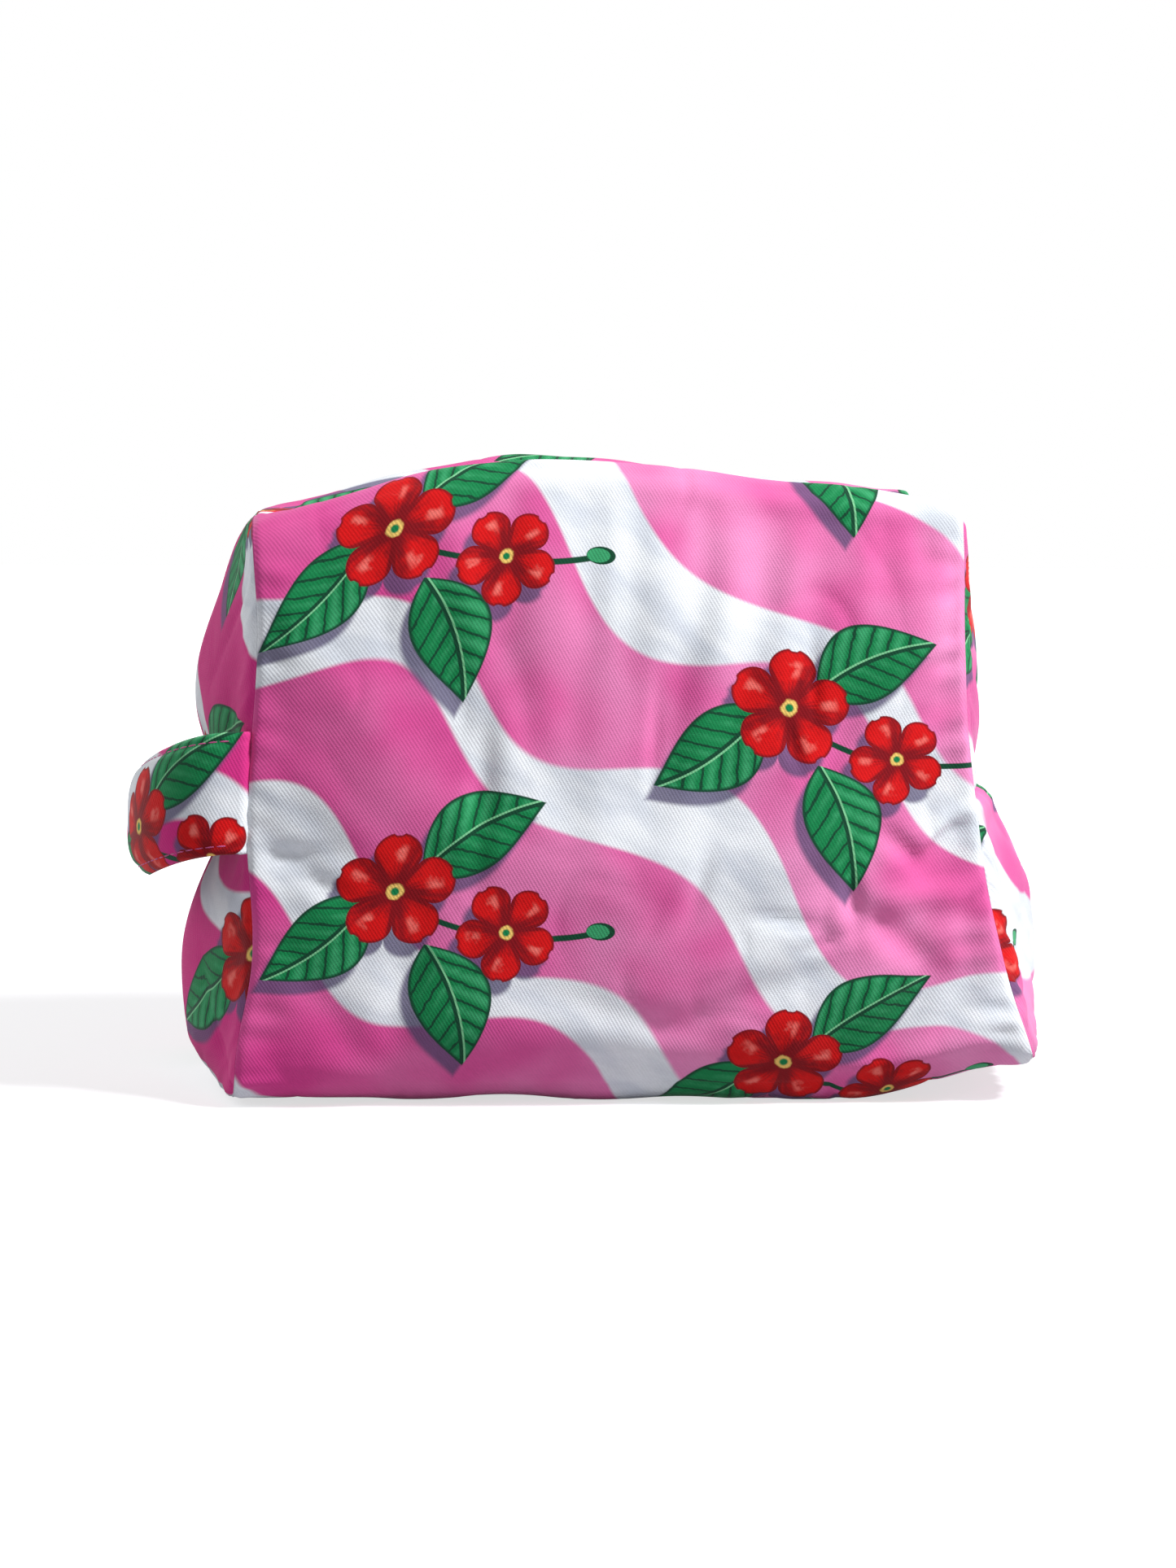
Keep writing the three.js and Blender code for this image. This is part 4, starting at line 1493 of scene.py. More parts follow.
@dataclass
class LongCloth:
    """One long side of the pouch: from the middle of the base, up the wall and in to the zipper."""

    side: Side
    creases: tuple[Crease, ...]
    form: PouchForm = PouchForm()
    sewing: Needlework = Needlework()
    mouth: Mouth = Mouth()
    settling: Settling = Settling()
    finish: Finish = PrintedTwill()
    thickness: float = 0.9 * MM
    sim_columns: int = 97
    sim_rows: int = 73
    calm_from: float = -95 * MM  # the wrinkles grow from here along the wall
    lively_at: float = 55 * MM
    calmest: float = 0.5  # share of the wrinkles at the calm end
    liveliest: float = 2.0  # and at the lively one
    calm_slack: float = 0.35  # share of the fine creases at the calm end
    calm_pucker: float = 0.6  # and of the puckers
    crease_from: float = 6 * MM  # a crease dies out this near the upright seam
    wrinkles: Array | None = None
    columns: int = 176
    base_rows: int = 24
    wall_rows: int = 104
    top_rows: int = 36
    zip_gap: float = 4.7 * MM  # from the zipper's middle to the cloth
    zip_half: float = 74.6 * MM  # where the two long cloths meet past the zipper
    zip_close: float = 2.0 * MM
    least_gap: float = 0.05 * MM
    wall_power: int = 10  # the more, the nearer the creases come to the folds
    seed: float = 1.3
    roll: float = 0.42 * MM  # how far the folded edge rolls down
    roll_reach: float = 1.3 * MM
    stitch_off: float = 2.4 * MM  # from the folded edge to its topstitching
    stitch_dent: float = 0.3 * MM
    dent_reach: float = 0.6 * MM

    @property
    def number(self) -> float:
        """The cloth's number in the print."""
        return 0.0 if self.side is Side.FRONT else 1.0

    def edge_share(self, u: Array) -> Array:
        """Where the folded edge beside the zipper lies, as a share of the half depth."""
        away = np.abs(u) * self.form.top_length / 2 - self.zip_half
        gap = self.zip_gap * (1 - smooth(away / self.zip_close)) + self.least_gap
        return gap / self.form.half_top

    def shares(self) -> tuple[Array, Array, Array]:
        """Lays out the cloth's grid, row by row from the middle of the base to the zipper.

        Returns:
            The shares along, across and up.
        """
        u = denser_ends(self.columns)
        base = np.linspace(MID_BASE, 1, self.base_rows, endpoint=False)
        wall = denser_ends(self.wall_rows)
        steps = np.linspace(0, 1, self.top_rows + 1)[1:]
        inward = 0.5 * steps + 0.5 * np.sin(steps * math.pi / 2)
        top = 1 - (1 - self.edge_share(u)[None, :]) * inward[:, None]
        below = np.append(base, np.ones(len(wall)))[:, None] + np.zeros_like(u)
        v = self.side.value * np.concatenate((below, top))
        rise = np.concatenate((np.full(len(base), -1.0), wall, np.ones(self.top_rows)))
        return tuple(np.broadcast_arrays(u, v, rise[:, None]))

    def face(self, u: Array, v: Array, w: Array, skin: float = 0.0) -> Array:
        """Points on the sewn and creased cloth.

        Args:
            u: share along.
            v: share across.
            w: share up.
            skin: how deep in the cloth the points lie.

        Returns:
            The points.
        """
        points = self.form.point(u, v, w, skin)
        x, y, z = points[..., 0], points[..., 1], points[..., 2]
        run = y * self.side.value + z
        away = (1 - np.abs(u)) * self.form.base_length / 2
        calm = smooth(away / self.sewing.calm_reach)
        on_wall = np.where(np.abs(w) < 1, 1 - np.abs(w) ** self.wall_power, 0.0)
        on_top = np.where(w >= 1, np.abs(v) ** 2, 1.0)
        seed = self.seed + self.number
        share = smooth((x - self.calm_from) / (self.lively_at - self.calm_from))
        swell = self.sewing.slack_at(x, run, seed, mix(self.calm_slack, 1.0, share)) * calm * on_top
        pucker = self.sewing.pucker_at(away, run, seed) * mix(self.calm_pucker, 1.0, share)
        caught = smooth(away / self.crease_from)
        crease = sum((c.height(x, z) for c in self.creases), np.zeros_like(x)) * on_wall * caught
        if self.wrinkles is not None:
            lively = mix(self.calmest, self.liveliest, share)
            crease = crease + sampled(self.wrinkles, w, u) * on_wall * lively
        height = self.sewing.held_out(swell + pucker + crease) - self.sewing.groove_at(away, run)
        moved = points + self.form.outward(u, v, w) * height[..., None]
        off = (np.abs(v) - self.edge_share(u)) * self.form.half_top
        rolled = self.roll * np.clip(1 - off / self.roll_reach, 0, 1) ** 2
        dent = self.stitch_dent * hump((off - self.stitch_off) / self.dent_reach)
        turned = 1.0 if skin == 0 else -1.0
        beside_zip = np.abs(x - self.mouth.middle) < self.zip_half
        moved[..., 2] -= (w >= 1) * (rolled * turned + dent * beside_zip)
        moved[..., 2] = np.maximum(moved[..., 2], self.sewing.clearance + skin)
        return moved

    def settle(self) -> None:
        """Finds the wrinkles of the wall by simulation."""
        u, w = np.meshgrid(np.linspace(-1, 1, self.sim_columns), np.linspace(-1, 1, self.sim_rows))
        v = np.full_like(u, float(self.side.value))
        self.wrinkles = self.settling.wrinkles(self.form, u, v, w)

    def build(self) -> Piece:
        """Makes the cloth.

        Returns:
            The new piece.
        """
        self.settle()
        u, v, w = self.shares()
        outer = self.face(u, v, w)
        inner = self.face(u, v, w, self.thickness)
        run = run_lengths(outer[:, self.columns // 2])
        up = run - run[self.base_rows]
        along = outer[..., 0] * -self.side.value
        place = cloth_place(along, up[:, None], self.number)
        word = self.side.word
        piece = sheet_piece(f"{word}_cloth", outer, inner, place)
        self.mouth.bend(piece, self.side, w)
        self.finish.dress(piece)
        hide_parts(f"{word}_panel", f"{word}_flap", "base_panel", "left_top_end", "right_top_end")
        return piece


@dataclass
class EndCloth:
    """One half of a short end: the upper half above the cross seam, or the lower half."""

    end: End
    half: Half
    form: PouchForm = PouchForm()
    sewing: Needlework = Needlework()
    finish: Finish = PrintedTwill()
    settling: Settling = Settling(smoothing=5)
    thickness: float = 0.9 * MM
    sim_columns: int = 49
    sim_rows: int = 37
    calmness: float = 0.4  # share of the wrinkles that the strap end keeps
    seed: float = 4.1
    wrinkles: Array | None = None
    columns: int = 84
    rows: int = 60

    @property
    def number(self) -> float:
        """The cloth's number in the print."""
        return 2.0 + (self.end is End.RIGHT) + 0.45 * (self.half is Half.UPPER)

    def face(self, v: Array, w: Array, skin: float = 0.0) -> Array:
        """Points on the sewn cloth.

        Args:
            v: share across.
            w: share up.
            skin: how deep in the cloth the points lie.

        Returns:
            The points.
        """
        u = np.full_like(v, float(self.end.value))
        points = self.form.point(u, v, w, skin)
        y, z = points[..., 1], points[..., 2]
        beside = (1 - np.abs(v)) * self.form.half_top
        above = (1 - np.abs(w)) * self.form.zip_height / 2
        cross = np.abs(w) * self.form.zip_height / 2
        border = np.minimum(beside, above)
        away = np.minimum(border, cross)
        calm = smooth(border / self.sewing.calm_reach)
        seed = self.seed + self.number
        lively = 1.0 if self.end is End.RIGHT else self.calmness
        height = self.sewing.slack_at(y, z, seed, lively) * calm
        height = height - self.sewing.groove_at(away, np.abs(y) + z)
        height = height + self.sewing.pucker_at(border, y + z, seed) * lively
        height = height + self.sewing.pucker_at(cross, y, seed + 1) * calm * lively
        if self.wrinkles is not None:
            height = height + sampled(self.wrinkles, np.abs(w) * 2 - 1, v) * lively
        moved = points + self.form.outward(u, v, w) * height[..., None]
        moved[..., 2] = np.maximum(moved[..., 2], self.sewing.clearance + skin)
        return moved

    def settle(self) -> None:
        """Finds the wrinkles of the cloth by simulation."""
        v, w = np.meshgrid(np.linspace(-1, 1, self.sim_columns), np.linspace(0, 1, self.sim_rows))
        u = np.full_like(v, float(self.end.value))
        self.wrinkles = self.settling.wrinkles(self.form, u, v, w * self.half.value)

    def build(self) -> Piece:
        """Makes the cloth.

        Returns:
            The new piece.
        """
        self.settle()
        across = denser_ends(self.columns)
        up = (denser_ends(self.rows) + 1) / 2 * self.half.value
        v, w = np.meshgrid(across, up)
        outer = self.face(v, w)
        rise = run_lengths(outer[:, self.columns // 2]) * self.half.value
        along = outer[..., 1] * self.end.value
        place = cloth_place(along, rise[:, None], self.number)
        name = f"{self.end.word}_end_{self.half.word}"
        piece = sheet_piece(f"{name}_cloth", outer, self.face(v, w, self.thickness), place)
        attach(piece, "pouch")
        self.finish.dress(piece)
        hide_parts(name)
        return piece


@dataclass
class Lining:
    """The plain lining, with the soft padding that it covers: two long cloths and two ends."""

    form: PouchForm = PouchForm()
    mouth: Mouth = Mouth()
    finish: Finish = PlainLining()
    depth: float = 2.6 * MM  # under the pouch's outer face
    thickness: float = 0.5 * MM
    zip_gap: float = 6.4 * MM
    hang: float = 4.4 * MM  # how far it hangs clear of the padded walls
    slack: float = 1.1 * MM
    slack_pitch: float = 48 * MM
    columns: int = 64
    end_columns: int = 40
    base_rows: int = 12
    rows: int = 56
    top_rows: int = 24

    def _sheet(self, name: str, u: Array, v: Array, w: Array, number: float) -> Piece:
        """Makes one lining cloth from its grid of shares.

        Args:
            name: the piece's name.
            u: share along.
            v: share across.
            w: share up.
            number: the cloth's number.

        Returns:
            The new object.
        """
        sewn = self.form.point(u, v, w, self.depth)
        calm = pillow(u, 1.0) if np.ptp(u) > 0 else pillow(v, 1.0) * pillow(w, 1.0)
        calm = calm * (w < 1)
        x, y, z = sewn[..., 0], sewn[..., 1], sewn[..., 2]
        swell = -self.hang * smooth(calm * 3) - self.slack * calm
        swell = swell + self.slack * ripple(x + y, z, self.slack_pitch, 2.2 + number) * calm
        outer = sewn + self.form.outward(u, v, w) * swell[..., None]
        inner = outer + self.form.point(u, v, w, self.depth + self.thickness) - sewn
        piece = sheet_piece(name, outer, inner, cloth_place(x + y, z, number))
        self.finish.dress(piece)
        return piece

    def long_cloth(self, side: Side) -> Piece:
        """Makes the lining behind a long side.

        Args:
            side: the side.

        Returns:
            The new piece.
        """
        u = denser_ends(self.columns)
        edge = self.zip_gap / self.form.half_top
        base = np.linspace(MID_BASE, 1, self.base_rows, endpoint=False)
        wall = denser_ends(self.rows)
        top = np.linspace(1, edge, self.top_rows + 1)[1:]
        v = side.value * np.concatenate((base, np.ones(len(wall)), top))
        w = np.concatenate((np.full(len(base), -1.0), wall, np.ones(len(top))))
        u, v, w = np.broadcast_arrays(u, v[:, None], w[:, None])
        word = side.word
        piece = self._sheet(f"{word}_lining_cloth", u, v, w, side.value * 0.5)
        self.mouth.bend(piece, side, w)
        layers = [f"{word}_{layer}" for layer in ("padding", "lining", "flap_padding", "flap_lining")]
        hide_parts(*layers, "base_padding", "base_lining")
        return piece

    def end_cloth(self, end: End) -> Piece:
        """Makes the lining behind a short end.

        Args:
            end: the end.

        Returns:
            The new piece.
        """
        v, w = np.meshgrid(denser_ends(self.end_columns), denser_ends(self.rows))
        u = np.full_like(v, float(end.value))
        piece = self._sheet(f"{end.word}_lining_cloth", u, v, w, 2.0 + end.value)
        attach(piece, "pouch")
        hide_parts(f"{end.word}_padding", f"{end.word}_lining")
        return piece


# Sewing


@dataclass(frozen=True)
class Stitching:
    """A row of single thread stitches that sink into the cloth at both ends."""

    length: float = 2.3 * MM
    pitch: float = 2.9 * MM
    thick: float = 0.4 * MM
    arch: float = 0.22  # how far its middle stands up, in thicknesses, as the next
    sink: float = 0.1
    flatness: float = 0.8
    end_share: float = 0.35  # how thick its ends are, as a share of its middle
    finish: Finish = SewingThread()
    around: int = 6
    rings: int = 6

    def row(self, line: Array, outward: Array) -> Array:
        """Lays stitches along a line on the cloth.

        Args:
            line: the points that the row follows.
            outward: which way is out of the cloth at each point.

        Returns:
            For each stitch, rings of points.
        """
        run = run_lengths(line)
        count = int((run[-1] - self.length) / self.pitch)
        starts = (np.arange(count) + 0.5) * self.pitch
        share = np.linspace(0, 1, self.rings)
        at = starts[:, None] + share[None, :] * self.length
        middle = np.stack([np.interp(at, run, line[:, axis]) for axis in range(3)], axis=-1)
        out = np.stack([np.interp(at, run, outward[:, axis]) for axis in range(3)], axis=-1)
        sideways = unit(np.cross(unit(np.gradient(middle, axis=1)), out))
        arch = np.sin(math.pi * np.clip(share, 0.02, 0.98))
        lifted = middle + out * (arch * self.arch - self.sink)[None, :, None] * self.thick
        radius = self.thick / 2 * mix(self.end_share, 1.0, arch ** 0.5)
        turn = np.arange(self.around) * 2 * math.pi / self.around
        spokes = sideways[:, :, None, :] * np.cos(turn)[None, None, :, None]
        spokes = spokes + out[:, :, None, :] * np.sin(turn)[None, None, :, None] * self.flatness
        return lifted[:, :, None, :] + spokes * radius[None, :, None, None]

    def build(self, name: str, rows: Sequence[Array]) -> Piece:
        """Makes one piece of several rows of stitches.

        Args:
            name: the piece's name.
            rows: what row() gave for each.

        Returns:
            The new object.
        """
        stitches = np.concatenate(rows)
        faces = tube_faces(self.rings, self.around, len(stitches))
        piece = as_piece(name, closed_mesh(name, stitches, faces))
        self.finish.dress(piece)
        return piece


@dataclass
class ZipTopstitching:
    """The row of stitches that holds each folded cloth edge to the zipper's tape."""

    cloth: LongCloth
    thread: Stitching = Stitching()
    half: float = 71 * MM
    steps: int = 160

    def build(self) -> Piece:
        """Makes the row.

        Returns:
            The new piece.
        """
        form = self.cloth.form
        u = np.linspace(-self.half, self.half, self.steps) / (form.top_length / 2)
        off = (self.cloth.zip_gap + self.cloth.stitch_off) / form.half_top
        v = np.full_like(u, self.cloth.side.value * off)
        line = self.cloth.face(u, v, np.ones_like(u))
        row = self.thread.row(line, np.tile((0.0, 0.0, 1.0), (self.steps, 1)))
        piece = self.thread.build(f"{self.cloth.side.word}_topstitching", [row])
        self.cloth.mouth.bend(piece, self.cloth.side)
        return piece


# The zipper


@dataclass
class ZipTape:
    """One woven tape of the zipper, with the cord along its edge that the teeth grip."""

    side: Side
    mouth: Mouth = Mouth()
    finish: Finish = WovenTape()
    level: float = 143.5 * MM
    half_length: float = 79.5 * MM
    width: float = 14 * MM  # from the zipper's middle
    join_from: float = 70.4 * MM  # past the last teeth the two tapes come together
    join_over: float = 1.6 * MM
    joined_gap: float = 0.06 * MM
    thickness: float = 0.5 * MM
    cord_off: float = 2.1 * MM
    cord: float = 0.62 * MM  # radius
    cord_points: int = 5
    flat_points: tuple[float, ...] = (0.25, 0.45, 0.7, 0.96)  # shares of the width
    steps: int = 180

    def build(self) -> Piece:
        """Makes the tape.

        Returns:
            The new piece.
        """
        half = self.thickness / 2
        turns = np.linspace(0.15 * math.pi, math.pi, self.cord_points)
        cord = [(self.cord_off + math.cos(t) * self.cord, math.sin(t) * self.cord) for t in turns]
        flat = [(self.width * share, half) for share in self.flat_points]
        upper = list(reversed(flat)) + cord
        lower = [(off, -rise) for off, rise in reversed(upper[:-1])]
        section = np.array([(self.width, 0.0)] + upper + lower)
        x = self.mouth.middle + np.linspace(-self.half_length, self.half_length, self.steps)
        grid_x, off = np.meshgrid(x, section[:, 0], indexing="ij")
        joined = smooth((np.abs(grid_x - self.mouth.middle) - self.join_from) / self.join_over)
        shift = self.cord_off - self.cord - self.joined_gap
        off = off - shift * joined * (1 - off / self.width)
        rise = np.broadcast_to(section[:, 1], off.shape)
        rings = np.stack((grid_x, self.side.value * off, self.level + rise), axis=-1)
        place = cloth_place(grid_x, off, self.side.value)
        piece = tube_piece(f"{self.side.word}_tape", rings, place)
        self.mouth.bend(piece, self.side)
        self.finish.dress(piece)
        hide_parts(f"{self.side.word}_zip_tape", "left_tape_end", "right_tape_end")
        return piece


@dataclass
class ZipTeeth:
    """One row of moulded teeth: each grips the tape's cord and ends in a rounded head."""

    side: Side
    mouth: Mouth = Mouth()
    finish: Finish = MouldedTeeth()
    level: float = 143.5 * MM
    pitch: float = 2.8 * MM
    height: float = 2.4 * MM
    open_end: float = -70.2 * MM  # from the zipper's middle
    closed_end: float = 70.4 * MM
    grip: float = 0.85 * MM  # half widths
    neck: float = 0.36 * MM
    head: float = 0.74 * MM
    back: float = 3.3 * MM
    back_corner: float = 0.35 * MM
    back_inset: float = 0.15 * MM
    waist: float = 1.9 * MM  # where it starts to narrow, and the next two where it ends
    waist_inset: float = 0.2 * MM
    waist_end: float = 1.55 * MM
    neck_start: float = 1.3 * MM
    middle: float = 1.2 * MM
    throat: float = 0.05 * MM
    tip: float = 1.0 * MM
    rounding: float = 0.28 * MM  # of its head
    edge: float = 0.3 * MM  # of its top and bottom
    narrowing: float = 0.74
    sharp_over: float = 50.0  # degrees

    def _outline(self) -> Array:
        """Draws a tooth seen from above.

        Returns:
            Points, each across its row and towards the other row.
        """
        right = [
            (self.grip - self.back_inset, -self.back),
            (self.grip, -self.back + self.back_corner),
            (self.grip, -self.waist),
            (self.grip - self.waist_inset, -self.waist_end),
            (self.neck, -self.neck_start),
            (self.neck, -self.throat),
            (self.head, self.rounding),
            (self.head, self.tip - self.rounding),
            (self.neck, self.tip),
        ]
        return np.array(right + [(-across, ahead) for across, ahead in reversed(right)])

    def _centres(self) -> Array:
        """Where the teeth stand, from the zipper's middle."""
        shift = 0.0 if self.side is Side.FRONT else self.pitch / 2
        first = math.ceil((self.open_end - shift) / self.pitch)
        last = math.floor((self.closed_end - shift) / self.pitch)
        return np.arange(first, last + 1) * self.pitch + shift

    def build(self) -> Piece:
        """Makes the row.

        Returns:
            The new piece.
        """
        outline, centres = self._outline(), self._centres()
        half = self.height / 2
        levels = np.array((-half, -half + self.edge, half - self.edge, half))
        shrink = np.array((self.narrowing, 1.0, 1.0, self.narrowing))
        centre = np.array((0.0, -self.middle))
        flat = centre + (outline - centre)[None] * np.stack((shrink, 0.5 + shrink / 2), axis=-1)[:, None]
        x = self.mouth.middle + centres[:, None, None] + flat[None, :, :, 0]
        y = np.broadcast_to(self.side.value * -flat[None, :, :, 1], x.shape)
        z = np.broadcast_to((self.level + levels)[None, :, None], x.shape)
        points = np.stack((x, y, z), axis=-1)
        mesh = closed_mesh("teeth", points, tube_faces(len(levels), len(outline), len(centres)))
        piece = as_piece(f"{self.side.word}_teeth", mesh)
        mesh.set_sharp_from_angle(angle=math.radians(self.sharp_over))
        self.mouth.bend(piece, self.side)
        self.finish.dress(piece)
        word = self.side.word
        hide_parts(f"{word}_zip_teeth", f"left_teeth_{word}", f"right_teeth_{word}")
        return piece


@dataclass
class SoftenedMetal:
    """A metal fitting in its CAD shape, with its cast edges rounded over."""

    node: str
    name: str
    body: str
    edge: float = 0.28 * MM
    finish: Finish = PolishedMetal()
    segments: int = 3
    weld: float = 0.005 * MM
    flat_under: float = 4.0  # degrees between faces, as the next two
    rounded_over: float = 28.0
    sharp_over: float = 40.0

    def build(self) -> Piece:
        """Makes the fitting, which rides with its body.

        Returns:
            The new piece.
        """
        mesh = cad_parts[self.node].data.copy()
        mesh.name = self.name
        work = bmesh.new()
        work.from_mesh(mesh)
        bmesh.ops.remove_doubles(work, verts=work.verts, dist=self.weld)
        flat = math.radians(self.flat_under)
        bmesh.ops.dissolve_limit(work, angle_limit=flat, verts=work.verts, edges=work.edges)
        least = math.radians(self.rounded_over)
        edges = [e for e in work.edges if e.is_manifold and e.calc_face_angle(0) > least]
        bmesh.ops.bevel(
            work, geom=edges, offset=self.edge, segments=self.segments, profile=0.5, affect="EDGES",
            clamp_overlap=True,
        )
        bmesh.ops.recalc_face_normals(work, faces=work.faces)
        work.to_mesh(mesh)
        work.free()
        piece = as_piece(self.name, mesh)
        mesh.set_sharp_from_angle(angle=math.radians(self.sharp_over))
        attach(piece, self.body)
        self.finish.dress(piece)
        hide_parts(self.node)
        return piece


# The strap


@dataclass
class CarryStrap:
    """A folded cloth strap, topstitched along both edges, caught in the seams of the left end."""

    form: PouchForm = PouchForm()
    finish: Finish = PrintedTwill()
    thread: Stitching = Stitching()
    width: float = 30 * MM
    thickness: float = 2.4 * MM
    reach: float = 29 * MM
    squareness: float = 2.4
    height: float = 78 * MM
    droop: float = 12 * MM
    droop_by: float = 0.6  # share of its run by which it has drooped
    cup: float = 0.17  # how much less its edges reach than its middle
    seat: float = 0.5 * MM
    stitch_in: float = 2.2 * MM  # from each edge
    stitch_dent: float = 0.45
    dent_reach: float = 0.8 * MM
    crown: float = 0.14  # how much thicker its middle is
    pressed: float = 0.55  # its thickness at its seams, as a share
    wave: float = 0.12
    wave_pitch: float = 17 * MM
    pinch: float = 8 * MM  # how far from its seams the strap is pressed thin
    stretch: float = 1.3  # its length over a radian of turn, in reaches
    tuck: float = 1.6 * MM  # how far its ends reach into the seams
    tuck_across: float = 0.6  # and turn in across, as a share of that
    number: float = 6.0  # the cloth's number in the print
    print_along: float = 24 * MM  # where its print starts
    print_up: float = 12 * MM
    edge_power: int = 12  # the more, the squarer its edges
    seed: float = 3.3
    turns: int = 96
    across: int = 34
    turn_step: float = 0.004  # radians, as the next
    stitch_from: float = 0.05
    stitch_steps: int = 200

    def _curve(self, turn: Array, across: Array) -> Array:
        """The strap's middle layer.

        Args:
            turn: angle round the end, from 0 at the front seam to pi at the back one.
            across: share of the width, from -0.5 to 0.5.

        Returns:
            The points.
        """
        bend = 2 / self.squareness
        z = self.height + across * self.width - self.droop * smooth(turn / math.pi / self.droop_by)
        lift = z / self.form.left_height
        seat = self.form.half_length(-1, lift) + self.seat
        cos = np.cos(turn)
        reach = self.reach * (1 - self.cup * np.abs(2 * across) ** 4)
        x = -seat - reach * np.abs(np.sin(turn)) ** bend
        y = -self.form.half_depth(lift) * np.sign(cos) * np.abs(cos) ** bend
        return np.stack((x, y, z), axis=-1)

    def _outward(self, turn: Array, across: Array) -> Array:
        """Which way is out of the strap.

        Args:
            turn: angle round the end.
            across: share of the width.

        Returns:
            A direction for each point of its middle layer.
        """
        ahead = self._curve(np.clip(turn + self.turn_step, 0, math.pi), across)
        behind = self._curve(np.clip(turn - self.turn_step, 0, math.pi), across)
        run = ahead - behind
        out = np.stack((run[..., 1], -run[..., 0], np.zeros_like(turn)), axis=-1)
        return -unit(out)

    def _half_thickness(self, turn: Array, across: Array) -> Array:
        """Half the strap's thickness: full between its seams, pressed in along the stitches.

        Args:
            turn: angle round the end.
            across: share of the width.

        Returns:
            The half thickness at each point.
        """
        edge = np.sqrt(np.maximum(0.0, 1 - np.abs(2 * across) ** self.edge_power))
        line = 0.5 - self.stitch_in / self.width
        dent = hump((np.abs(across) - line) * self.width / self.dent_reach)
        crown = 1 - self.crown + self.crown * pillow(2 * across, 1.0)
        seam = np.minimum(turn, math.pi - turn) * self.reach * self.stretch
        pressed = mix(self.pressed, 1.0, smooth(seam / self.pinch))
        swell = ripple(turn * self.reach, across * self.width, self.wave_pitch, self.seed)
        wave = 1 + self.wave * swell
        return self.thickness / 2 * edge * crown * pressed * (1 - self.stitch_dent * dent) * wave

    def face(self, turn: Array, across: Array, face: int) -> Array:
        """Points on the strap's outer face (1) or inner face (-1)."""
        out = self._outward(turn, across)
        return self._curve(turn, across) + out * (face * self._half_thickness(turn, across))[..., None]

    def build(self) -> Piece:
        """Makes the strap.

        Returns:
            The new piece.
        """
        turn = (denser_ends(self.turns) + 1) / 2 * math.pi
        across = denser_ends(self.across) / 2
        grid_turn, grid_across = np.meshgrid(turn, across, indexing="ij")
        outer = self.face(grid_turn, grid_across, 1)
        inner = self.face(grid_turn, grid_across, -1)
        rings = np.concatenate((outer, inner[:, -2:0:-1]), axis=1)
        first, last = rings[0].copy(), rings[-1].copy()
        first += np.array((self.tuck, self.tuck_across * self.tuck, 0.0))
        last += np.array((self.tuck, -self.tuck_across * self.tuck, 0.0))
        rings = np.concatenate((first[None], rings, last[None]))
        run = run_lengths(outer[:, self.across // 2])
        run = np.concatenate((run[:1] - self.tuck, run, run[-1:] + self.tuck))
        shares = np.concatenate((across, across[-2:0:-1] + 2.0))
        run, shares = np.meshgrid(run, shares * self.width, indexing="ij")
        place = cloth_place(self.print_along - run, shares + self.print_up, self.number)
        piece = tube_piece("strap_cloth", rings, place)
        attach(piece, "pouch")
        self.finish.dress(piece)
        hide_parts("carry_strap")
        return piece

    def build_stitches(self) -> Piece:
        """Makes the rows of topstitching along both edges, on both faces.

        Returns:
            The new piece.
        """
        turn = np.linspace(self.stitch_from, math.pi - self.stitch_from, self.stitch_steps)
        line = 0.5 - self.stitch_in / self.width
        rows = []
        for share in (-line, line):
            across = np.full_like(turn, share)
            out = self._outward(turn, across)
            rows.append(self.thread.row(self.face(turn, across, 1), out))
            rows.append(self.thread.row(self.face(turn, across, -1), -out))
        piece = self.thread.build("strap_topstitching", rows)
        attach(piece, "pouch")
        return piece


# The studio


